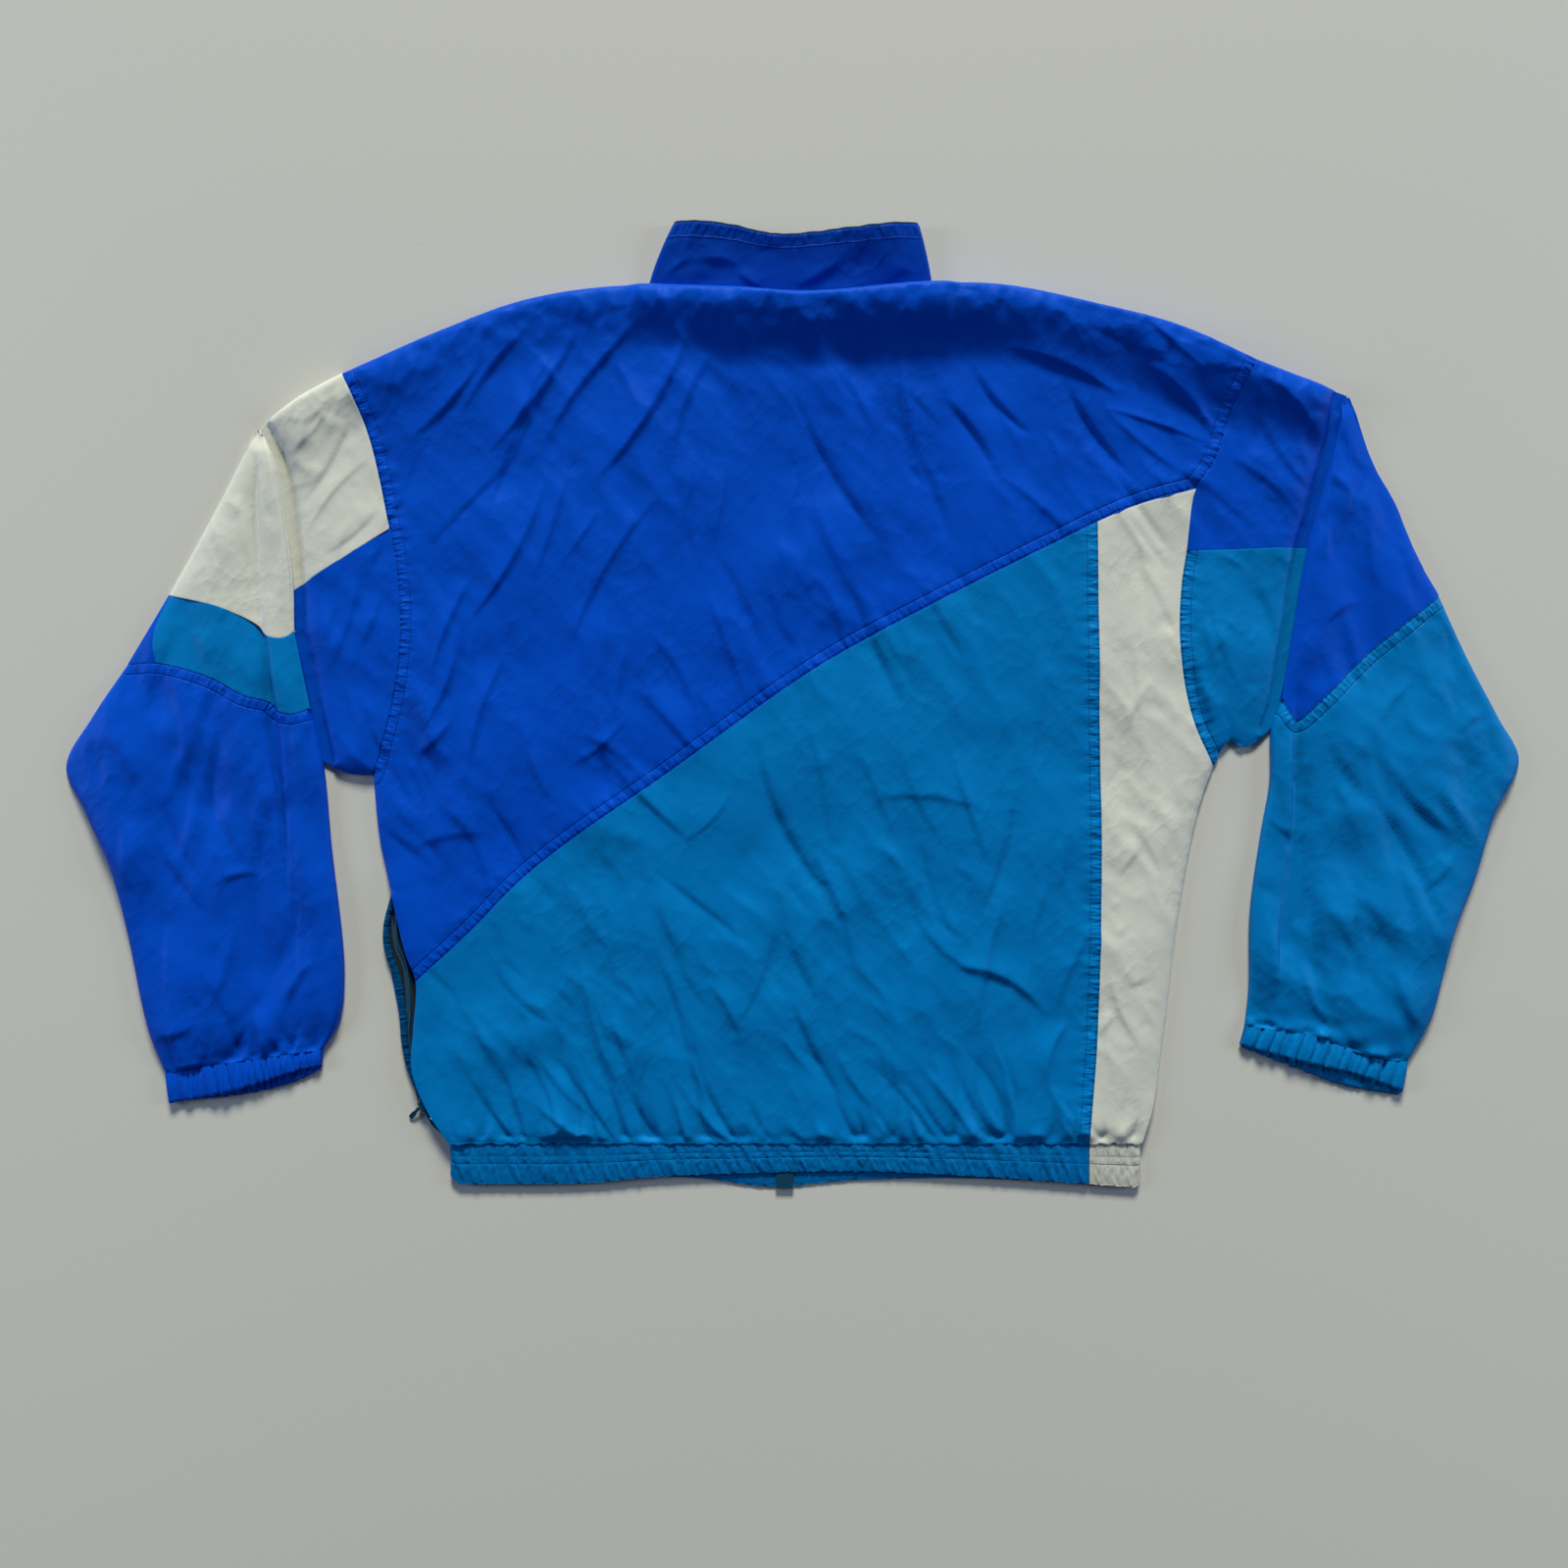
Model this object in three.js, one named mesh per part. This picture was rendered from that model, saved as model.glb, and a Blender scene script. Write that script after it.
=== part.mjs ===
// A shell windbreaker jacket, laid flat on its front and seen from its back.
// Units are millimetres. +X runs from the wearer's left to the right, +Y from hem to collar, +Z up.
// Every cut piece is a thin wall of cloth: a centre surface on a grid, thickened to both sides.
import * as THREE from "three";

// Driving sizes
const wall = 1.5; // shell and lining together
const seamGap = 0.3; // between neighbouring pieces
const frontMid = wall / 2; // centre height of the layer that lies on the surface
const backMid = wall * 1.5 + seamGap; // lowest centre height of the layer above it
const zipX = -5.5; // the front zip runs along this line
const chainWidth = 6;
const tapeWidth = 6;
const hemY = -328.5; // the seam between the panels and the hem band
const hemGathers = 60; // waves round the back half of the hem band
const backGathers = 18; // folds that the band draws into the lower back

const colours = { royal: 0x0b4fc4, teal: 0x0a7fb8, white: 0xdcddd0, dark: 0x06222e, zip: 0x0b5a66 };

// Outline curves, a row for each turning point
const shoulderLine = [
  { x: -340, y: 253 }, { x: -262, y: 287 }, { x: -200, y: 309 }, { x: -130, y: 319 }, { x: -50, y: 316 },
  { x: 10, y: 312 }, { x: 100, y: 319 }, { x: 159, y: 318 }, { x: 229, y: 304 }, { x: 290, y: 288 }, { x: 349, y: 262 },
];
const armholeLeft = [
  { x: -317, y: -51 }, { x: -303, y: 0 }, { x: -296, y: 50 }, { x: -299, y: 108 }, { x: -305, y: 138 },
  { x: -318, y: 198 }, { x: -330, y: 232 }, { x: -340, y: 253 },
];
const armholeRight = [
  { x: 319, y: -45 }, { x: 303, y: -10 }, { x: 293, y: 45 }, { x: 294, y: 90 }, { x: 298, y: 117 },
  { x: 305, y: 165 }, { x: 318, y: 183 }, { x: 333, y: 228 }, { x: 349, y: 262 },
];
const sideLeft = [{ x: -303, y: -139 }, { x: -312, y: -100 }, { x: -317, y: -51 }];
const pocketBackEdge = [
  { x: -259, y: hemY }, { x: -274, y: -307 }, { x: -287, y: -275 }, { x: -286, y: -245 }, { x: -284, y: -208 },
  { x: -292, y: -185 }, { x: -303, y: -139 },
];
const pocketLip = [
  { x: -259, y: hemY }, { x: -273, y: -317 }, { x: -289, y: -284 }, { x: -297, y: -245 }, { x: -308, y: -185 },
  { x: -310, y: -165 }, { x: -303, y: -139 },
];
const sideRight = [
  { x: 265, y: hemY }, { x: 273, y: -303 }, { x: 282, y: -239 }, { x: 291, y: -165 }, { x: 302, y: -101 },
  { x: 311, y: -66 }, { x: 319, y: -45 },
];
const diagonalSeam = [
  { x: -284, y: -208 }, { x: -241, y: -168 }, { x: -197, y: -124 }, { x: -88, y: -46 }, { x: 21, y: 31 },
  { x: 111, y: 80 }, { x: 231, y: 140 },
];
const whiteTopSeam = [{ x: 231, y: 140 }, { x: 259, y: 152 }, { x: 305, y: 165 }];
const uprightSeam = [{ x: 225, y: hemY }, { x: 231, y: -251 }, { x: 234, y: -118 }, { x: 232, y: 20 }, { x: 231, y: 140 }];
const neckY = 307; // the collar's seam on the back
const neckHalf = 112; // half the width left for the collar
const neckDrop = 52; // the collar's seam sinks by this at the front

// The sleeves, bent down at a pleat. outer is the silhouette, edge the pleat's fold, tuck its hidden root.
// The pairs of lines that share corners bound one patch each.
const sleeves = {
  left: {
    side: -1,
    outer: [{ x: -472, y: 85 }, { x: -449, y: 126 }, { x: -425, y: 171 }, { x: -406, y: 210 }],
    edge: [{ x: -376, y: 57 }, { x: -377, y: 95 }, { x: -384, y: 150 }, { x: -391, y: 186 }, { x: -401, y: 208 }],
    tuck: [{ x: -389, y: 81 }, { x: -391, y: 120 }, { x: -397, y: 175 }, { x: -404, y: 210 }],
    edgeBelow: [{ x: -355, y: -41 }, { x: -364, y: -1 }, { x: -369, y: 31 }, { x: -376, y: 57 }],
    top: [{ x: -406, y: 210 }, { x: -373, y: 235 }, { x: -340, y: 253 }],
    topFromTuck: [{ x: -404, y: 210 }, { x: -373, y: 235 }, { x: -340, y: 253 }],
    capSeam: [{ x: -472, y: 85 }, { x: -440, y: 79 }, { x: -408, y: 66 }, { x: -376, y: 57 }],
    underSeam: [{ x: -389, y: 81 }, { x: -305, y: 138 }],
    underEdge: [{ x: -355, y: -41 }, { x: -364, y: -1 }, { x: -371, y: 31 }, { x: -378, y: 57 }, { x: -380, y: 86 }],
    underCorner: { x: -380, y: 87.1 },
    underArm: [{ x: -355, y: -41 }, { x: -336, y: -50 }, { x: -317, y: -51 }],
    lowerSeam: [{ x: -503, y: 33 }, { x: -478, y: 35 }, { x: -440, y: 23 }, { x: -400, y: 5 }, { x: -364, y: -1 }],
    lowerOuter: [
      { x: -475, y: -277 }, { x: -488, y: -244 }, { x: -504, y: -170 }, { x: -516, y: -125 }, { x: -535, y: -81 },
      { x: -550, y: -45 }, { x: -530, y: -7 }, { x: -503, y: 33 },
    ],
    lowerInner: [
      { x: -355, y: -259 }, { x: -343, y: -238 }, { x: -339, y: -200 }, { x: -349, y: -102 }, { x: -355, y: -41 },
      { x: -364, y: -1 },
    ],
    cuffSeam: [{ x: -475, y: -277 }, { x: -434, y: -270 }, { x: -355, y: -259 }],
    cuffMouth: [{ x: -472, y: -300 }, { x: -421, y: -290 }, { x: -377, y: -276 }, { x: -356, y: -271 }],
    cuffMouthBelow: [{ x: -470, y: -298 }, { x: -421, y: -294 }, { x: -377, y: -284 }, { x: -357, y: -274 }],
  },
  right: {
    side: 1,
    outer: [{ x: 490, y: 85 }, { x: 475, y: 111 }, { x: 456, y: 156 }, { x: 440, y: 185 }, { x: 422, y: 236 }],
    edge: [{ x: 370, y: 6 }, { x: 379, y: 60 }, { x: 389, y: 119 }, { x: 400, y: 160 }, { x: 409, y: 193 }, { x: 417, y: 234 }],
    tuck: [{ x: 397, y: 121 }, { x: 405, y: 152 }, { x: 412, y: 190 }, { x: 420, y: 236 }],
    edgeBelow: [{ x: 363, y: -16 }, { x: 370, y: 6 }],
    top: [{ x: 422, y: 236 }, { x: 385, y: 249 }, { x: 349, y: 262 }],
    topFromTuck: [{ x: 420, y: 236 }, { x: 385, y: 249 }, { x: 349, y: 262 }],
    capSeam: [{ x: 490, y: 85 }, { x: 437, y: 45 }, { x: 407, y: 14 }, { x: 382, y: -10 }, { x: 370, y: 6 }],
    underSeam: [{ x: 397, y: 121 }, { x: 298, y: 117 }],
    underEdge: [{ x: 363, y: -16 }, { x: 369.5, y: 5 }, { x: 375, y: 28 }, { x: 381, y: 60 }, { x: 391.5, y: 120 }],
    underCorner: { x: 391.5, y: 120.8 },
    underArm: [{ x: 363, y: -16 }, { x: 330, y: -22 }, { x: 319, y: -45 }],
    lowerSeam: [{ x: 490, y: 85 }, { x: 437, y: 45 }, { x: 407, y: 14 }, { x: 382, y: -10 }, { x: 370, y: 6 }],
    lowerOuter: [
      { x: 467, y: -268 }, { x: 485, y: -235 }, { x: 495, y: -199 }, { x: 504, y: -166 }, { x: 518, y: -130 },
      { x: 533, y: -81 }, { x: 551, y: -40 }, { x: 535, y: -7 }, { x: 512, y: 37 }, { x: 490, y: 85 },
    ],
    lowerInner: [
      { x: 343, y: -241 }, { x: 346, y: -214 }, { x: 347, y: -155 }, { x: 355, y: -96 }, { x: 362, y: -55 },
      { x: 363, y: -16 }, { x: 370, y: 6 },
    ],
    cuffSeam: [{ x: 467, y: -268 }, { x: 440, y: -265 }, { x: 392, y: -248 }, { x: 343, y: -241 }],
    cuffMouth: [{ x: 463, y: -291 }, { x: 428, y: -278 }, { x: 381, y: -267 }, { x: 339, y: -255 }],
    cuffMouthBelow: [{ x: 461, y: -294 }, { x: 416, y: -286 }, { x: 381, y: -273 }, { x: 341, y: -258 }],
  },
};
// Where the columns of a sleeve stand along its width, closer together beside the pleat
const columnShares = [0, 0.17, 0.34, 0.5, 0.64, 0.75, 0.84, 0.92, 1];

// The largest folds: a ridge (or a trough, where the height is negative) along a line
const backFolds = [
  { x0: -77, y0: 286, x1: -150, y1: 170, width: 15, height: 3.5 },
  { x0: -150, y0: 250, x1: -240, y1: 150, width: 14, height: 3 },
  { x0: -60, y0: 230, x1: 60, y1: 118, width: 12, height: -3 },
  { x0: 135, y0: 258, x1: 183, y1: 204, width: 13, height: -3 },
  { x0: 204, y0: 248, x1: 290, y1: 190, width: 15, height: 3 },
  { x0: -240, y0: 90, x1: -265, y1: -60, width: 14, height: 3 },
  { x0: -159, y0: -189, x1: -113, y1: -314, width: 13, height: -2.5 },
  { x0: -28, y0: -19, x1: 43, y1: -157, width: 12, height: -3 },
  { x0: 168, y0: -59, x1: 143, y1: -157, width: 12, height: -3 },
  { x0: 120, y0: -196, x1: 194, y1: -236, width: 13, height: 3 },
  { x0: -2, y0: -217, x1: 43, y1: -302, width: 12, height: 3 },
  { x0: 212, y0: -262, x1: 197, y1: -297, width: 12, height: 3 },
];
const sleeveFolds = [
  { x0: -404, y0: 185, x1: -398, y1: 87, width: 8, height: -3 },
  { x0: -396, y0: 60, x1: -377, y1: -126, width: 9, height: -3 },
  { x0: -446, y0: -56, x1: -462, y1: -136, width: 13, height: 3 },
  { x0: -386, y0: -51, x1: -405, y1: -211, width: 13, height: -3 },
  { x0: -507, y0: -80, x1: -507, y1: -140, width: 13, height: 2.5 },
  { x0: 421, y0: -49, x1: 494, y1: -183, width: 13, height: 3 },
  { x0: 385, y0: -11, x1: 370, y1: -244, width: 9, height: -3 },
  { x0: 453, y0: -190, x1: 477, y1: -247, width: 12, height: 2.5 },
  { x0: 437, y0: 180, x1: 440, y1: 90, width: 12, height: 2.5 },
];

// Heights above the lowest place of the upper layer
const puff = 5.2; // how far the back stands off the front
const sleevePuff = 7.5;
const edgeRadius = 24; // the rounding beside a silhouette
const shoulderRoll = { height: 12.5, peak: 14 };
const hemBlouse = { height: 6.5, peak: 17 };
const hemLift = 1.8; // the back's lower edge stands on the hem band's height
const neckLift = 5.2; // the back's top edge clears the collar by this
const pocketLift = 2.6; // the pocket's mouth stands open
const foldTop = 7.4; // centre height of the pleat's upper side
const foldReturn = backMid + wall + seamGap; // and of the cloth that returns under it

const smooth = (t) => {
  const c = Math.min(1, Math.max(0, t));
  return c * c * (3 - 2 * c);
};
const rounded = (distance, radius) => {
  const c = Math.min(1, Math.max(0, distance / radius));
  return Math.sqrt(c * (2 - c));
};
const hump = (distance, peak) => Math.max(0, distance / peak) * Math.exp(1 - Math.max(0, distance) / peak);
const vector = (x, y, z = 0) => new THREE.Vector3(x, y, z);

// A smooth line through the rows, as count + 1 evenly spaced points, or at the given shares of its length
function along(rows, count) {
  const points = rows.map((r) => vector(r.x, r.y));
  const curve = rows.length === 2 ? new THREE.LineCurve3(...points) : new THREE.CatmullRomCurve3(points, false, "centripetal");
  if (Array.isArray(count)) return count.map((share) => curve.getPointAt(share));
  return curve.getSpacedPoints(count);
}
const join = (...parts) => parts.reduce((all, part) => all.concat(all.length ? part.slice(1) : part), []);
const reversed = (line) => [...line].reverse();
const every = (line, step) => line.filter((p, i) => i % step === 0);

// Cuts each step of a line into equal straight parts
function refined(line, parts) {
  const points = line.slice(0, -1).flatMap((p, i) =>
    Array.from({ length: parts }, (_, k) => p.clone().lerp(line[i + 1], k / parts)),
  );
  return [...points, line[line.length - 1].clone()];
}

function distanceTo(line, x, y) {
  let best = Infinity;
  for (let i = 0; i + 1 < line.length; i++) {
    const a = line[i];
    const b = line[i + 1];
    const dx = b.x - a.x;
    const dy = b.y - a.y;
    const t = Math.min(1, Math.max(0, ((x - a.x) * dx + (y - a.y) * dy) / (dx * dx + dy * dy)));
    best = Math.min(best, Math.hypot(x - a.x - t * dx, y - a.y - t * dy));
  }
  return best;
}

// Seam lines, sampled once, so that neighbours share their points
const holeLeft = along(armholeLeft, 16);
const holeRight = along(armholeRight, 16);
const cornerRow = (line, x, y) => line.reduce((best, p, i) => (Math.hypot(p.x - x, p.y - y) < Math.hypot(line[best].x - x, line[best].y - y) ? i : best), 0);
const underLeft = cornerRow(holeLeft, -305, 138);
const underRight = cornerRow(holeRight, 298, 117);
const whiteCorner = cornerRow(holeRight, 305, 165);
const shoulder = along(shoulderLine, 40);

const lines = {
  top: join(along(sleeves.left.top, 8), shoulder, reversed(along(sleeves.right.top, 8))),
  sides: [
    along(sideLeft, 8), along(sleeves.left.underArm, 4), along(sideRight, 16), along(sleeves.right.underArm, 4),
  ],
  pleats: [sleeves.left, sleeves.right].flatMap((cut) => [cut.edge, cut.tuck, cut.edgeBelow, cut.underEdge].map((line) => along(line, 8))),
  pocket: along(pocketBackEdge, 16),
  outers: [
    join(along(sleeves.left.lowerOuter, 24), along([sleeves.left.lowerSeam[0], sleeves.left.outer[0]], 1), along(sleeves.left.outer, 8)),
    join(along(sleeves.right.lowerOuter, 24), along(sleeves.right.outer, 8)),
  ],
  inners: [along(sleeves.left.lowerInner, 24), along(sleeves.right.lowerInner, 24)],
};
const nearest = (list, x, y) => Math.min(...list.map((line) => distanceTo(line, x, y)));

function foldHeight(folds, x, y) {
  let sum = 0;
  for (const f of folds) {
    const dx = f.x1 - f.x0;
    const dy = f.y1 - f.y0;
    const t = ((x - f.x0) * dx + (y - f.y0) * dy) / (dx * dx + dy * dy);
    const c = Math.min(1, Math.max(0, t));
    const d = Math.hypot(x - f.x0 - c * dx, y - f.y0 - c * dy);
    sum += f.height * Math.exp(-((d / f.width) ** 2)) * Math.sin(Math.PI * (0.15 + 0.7 * c));
  }
  return sum;
}

// Centre height of the back and the upper arms
function backHeight(x, y) {
  const fromTop = distanceTo(lines.top, x, y);
  const fromSide = Math.min(nearest(lines.sides, x, y), distanceTo(lines.pocket, x, y) + 3);
  const fromPleat = Math.max(0, nearest(lines.pleats, x, y) - 8);
  const fromHem = Math.max(0, y - hemY);
  const rim = rounded(Math.min(fromSide, fromPleat), edgeRadius);
  const neck = neckLift * smooth((neckHalf + 16 - Math.abs(x)) / 16) * smooth((y - 270) / 40);
  const mouth = pocketLift * smooth(1 - distanceTo(lines.pocket, x, y) / 26);
  const roll = shoulderRoll.height * hump(fromTop, shoulderRoll.peak) * rim;
  const blouse = hemBlouse.height * hump(fromHem, hemBlouse.peak) * rim;
  const inside = rounded(fromTop, edgeRadius) * rim * smooth(0.2 + fromHem / 20);
  const body = Math.max(0, puff + foldHeight(backFolds, x, y) * smooth(fromHem / 40)) * inside;
  return backMid + neck + mouth + roll + blouse + body + hemLift * smooth(1 - fromHem / 15);
}

// Centre height of a lower arm, which lies over the pleat
function armHeight(x, y) {
  const rim = rounded(nearest(lines.outers, x, y), edgeRadius);
  const besidePleat = (foldTop - backMid) * smooth(1 - nearest(lines.pleats, x, y) / 34);
  const inner = rounded(nearest(lines.inners, x, y) + 3, edgeRadius);
  return backMid + Math.max(besidePleat * Math.max(rim, 0.55), (sleevePuff + foldHeight(sleeveFolds, x, y)) * rim * inner);
}

// A Coons patch between four lines that share their corners: rows of points, the bottom line first
function patch(bottom, top, left, right) {
  const columns = bottom.length - 1;
  const rows = left.length - 1;
  return left.map((l, j) => {
    const v = j / rows;
    return bottom.map((b, i) => {
      const u = i / columns;
      const blend = (axis) =>
        (1 - v) * b[axis] + v * top[i][axis] + (1 - u) * l[axis] + u * right[j][axis] -
        (1 - u) * (1 - v) * bottom[0][axis] - u * (1 - v) * bottom[columns][axis] -
        (1 - u) * v * top[0][axis] - u * v * top[columns][axis];
      return vector(blend("x"), blend("y"));
    });
  });
}

const raised = (rows, height) => rows.map((row, j) => row.map((p, i) => vector(p.x, p.y, height(p.x, p.y, i, j))));
const flatStep = (from, to) => vector(to.x - from.x, to.y - from.y).normalize();

// Draws the rim of a grid in by a little more than half the seam gap
function drawnIn(rows, gap = 0.2) {
  const last = rows.length - 1;
  const end = rows[0].length - 1;
  const moved = rows.map((row) => row.map((p) => p.clone()));
  rows.forEach((row, j) => {
    moved[j][0].addScaledVector(flatStep(row[0], row[1]), gap);
    moved[j][end].addScaledVector(flatStep(row[end], row[end - 1]), gap);
  });
  rows[0].forEach((p, i) => {
    moved[0][i].addScaledVector(flatStep(p, rows[1][i]), gap);
    moved[last][i].addScaledVector(flatStep(rows[last][i], rows[last - 1][i]), gap);
  });
  return moved;
}

// Normals of a grid. On the rim they don't lean across the seam.
function normals(rows) {
  const last = rows.length - 1;
  const end = rows[0].length - 1;
  const step = (a, b) => new THREE.Vector3().subVectors(b, a);
  return rows.map((row, j) =>
    row.map((p, i) => {
      const across = step(row[Math.max(0, i - 1)], row[Math.min(end, i + 1)]);
      const up = step(rows[Math.max(0, j - 1)][i], rows[Math.min(last, j + 1)][i]);
      const n = new THREE.Vector3().crossVectors(across, up).normalize();
      const straighten = (direction) => {
        const flat = vector(direction.x, direction.y).normalize();
        n.addScaledVector(flat, -n.dot(flat));
      };
      if (j === 0 || j === last) straighten(up);
      if (i === 0 || i === end) straighten(across);
      return n.normalize();
    }),
  );
}

// Joins an outer and an inner grid into one closed solid
function closedSolid(outer, inner, ring) {
  const rows = outer.length;
  const columns = outer[0].length;
  const points = [...outer.flat(), ...inner.flat()];
  const count = rows * columns;
  const faces = [];
  const quad = (a, b, c, d) => faces.push(a, b, c, a, c, d);
  const at = (j, i) => j * columns + (i % columns);
  const spans = ring ? columns : columns - 1;
  for (let j = 0; j + 1 < rows; j++) {
    for (let i = 0; i < spans; i++) {
      quad(at(j, i), at(j, i + 1), at(j + 1, i + 1), at(j + 1, i));
      quad(count + at(j, i), count + at(j + 1, i), count + at(j + 1, i + 1), count + at(j, i + 1));
    }
    if (ring) continue;
    quad(at(j, 0), at(j + 1, 0), count + at(j + 1, 0), count + at(j, 0));
    quad(at(j + 1, spans), at(j, spans), count + at(j, spans), count + at(j + 1, spans));
  }
  for (let i = 0; i < spans; i++) {
    quad(at(0, i + 1), at(0, i), count + at(0, i), count + at(0, i + 1));
    quad(at(rows - 1, i), at(rows - 1, i + 1), count + at(rows - 1, i + 1), count + at(rows - 1, i));
  }
  let volume = 0;
  for (let f = 0; f < faces.length; f += 3) {
    const [a, b, c] = [points[faces[f]], points[faces[f + 1]], points[faces[f + 2]]];
    volume += a.dot(new THREE.Vector3().crossVectors(b, c));
  }
  if (volume < 0) faces.reverse();
  const geometry = new THREE.BufferGeometry();
  geometry.setAttribute("position", new THREE.Float32BufferAttribute(points.flatMap((p) => [p.x, p.y, p.z]), 3));
  geometry.setIndex(faces);
  geometry.computeVertexNormals();
  return geometry;
}

function thickened(rows, thickness = wall) {
  const lean = normals(rows);
  const moved = (share) => rows.map((row, j) => row.map((p, i) => p.clone().addScaledVector(lean[j][i], share * thickness)));
  return closedSolid(moved(0.5), moved(-0.5), false);
}

const jacket = new THREE.Group();
function addPiece(name, geometry, colour, roughness = 0.45, metalness = 0) {
  const mesh = new THREE.Mesh(geometry, new THREE.MeshStandardMaterial({ color: colour, roughness, metalness }));
  mesh.name = name;
  jacket.add(mesh);
  return mesh;
}

// The collar's lower line, and the front's neckline, sink towards the zip
const frontNeck = (x) => neckY - neckDrop * Math.max(0, 1 - (x / neckHalf) ** 2);

// Back panels. The hem band draws the teal one into gathers.
function backPanels() {
  const columns = backGathers * 2;
  const gather = (x, y, i) => (i % 2 && i < columns ? 2.6 : 0) * Math.exp(-Math.max(0, y - hemY) / 36);
  const diagonal = along(diagonalSeam, columns);
  const overWhite = join(along(whiteTopSeam, 4));
  const upright = along(uprightSeam, 16);
  const hem = along([{ x: -259, y: hemY }, { x: 225, y: hemY }], columns);
  const lower = patch(hem, diagonal, along(pocketBackEdge.slice(0, 5), 16), upright);
  addPiece("back_lower", thickened(raised(drawnIn(lower), (x, y, i) => backHeight(x, y) + gather(x, y, i))), colours.teal);

  const whiteRight = join(along(sideRight, 16 - whiteCorner), holeRight.slice(0, whiteCorner + 1));
  const white = patch(along([{ x: 225, y: hemY }, { x: 265, y: hemY }], 4), overWhite, upright, whiteRight);
  addPiece("back_side_panel", thickened(raised(drawnIn(white), backHeight)), colours.white);

  const upperRight = holeRight.slice(whiteCorner);
  const parts = Math.round(24 / (upperRight.length - 1));
  const rows = (upperRight.length - 1) * parts;
  const upperLeft = join(along(pocketBackEdge.slice(4), 2), along(sideLeft, rows - 18), holeLeft);
  const bottom = join(every(diagonal, 2), every(overWhite, 2));
  const top = along(shoulderLine, bottom.length - 1);
  addPiece("back_upper", thickened(raised(drawnIn(patch(bottom, top, upperLeft, refined(upperRight, parts))), backHeight)), colours.royal);
}

// The front lies flat under the back, in two halves beside the zip
function frontPanels() {
  const zipEdge = chainWidth / 2 + tapeWidth;
  const half = (name, side, outerLine) => {
    const inner = zipX + side * zipEdge;
    const hem = along([{ x: side < 0 ? -259 : 265, y: hemY }, { x: inner, y: hemY }], 10);
    const seam = (side < 0 ? shoulder : reversed(shoulder)).filter((p) => p.x * side > neckHalf + 4);
    const shoulderPart = [0, 0.33, 0.67, 1].map((share) => seam[Math.round(share * (seam.length - 1))]);
    const neck = Array.from({ length: 7 }, (_, i) => side * neckHalf + (inner - side * neckHalf) * (i / 6));
    const top = [...shoulderPart, ...neck.map((x) => vector(x, frontNeck(x)))];
    const zipLine = along([{ x: inner, y: hemY }, { x: inner, y: frontNeck(inner) }], outerLine.length - 1);
    addPiece(name, thickened(raised(drawnIn(patch(hem, top, outerLine, zipLine)), () => frontMid)), colours.teal);
  };
  half("front_left", -1, join(along(pocketLip, 5), along(sideLeft, 2), every(holeLeft, 2)));
  half("front_right", 1, join(along(sideRight, 7), every(holeRight, 2)));
}

// Points of a half turn in a row, from high to low, round a centre at height z
const halfTurn = (x, y, z, radius, bulge) => [90, 30, -30, -90].map((angle) => {
  const a = THREE.MathUtils.degToRad(angle);
  return vector(x + bulge * radius * Math.cos(a), y, z + radius * Math.sin(a));
});

// The arm's upper side runs to the pleat's fold, turns down and returns under it
function overPleat(row, side) {
  const edge = row[row.length - 1];
  const turn = (foldTop - foldReturn) / 2;
  const over = row.slice(0, -1).map((p, i) => {
    const high = armHeight(p.x, p.y);
    return vector(p.x, p.y, high + (foldTop - high) * smooth((i / (row.length - 1) - 0.7) / 0.3));
  });
  const fold = halfTurn(edge.x + side * turn, edge.y, foldReturn + turn, turn, -side);
  return [...over, ...fold];
}

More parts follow.
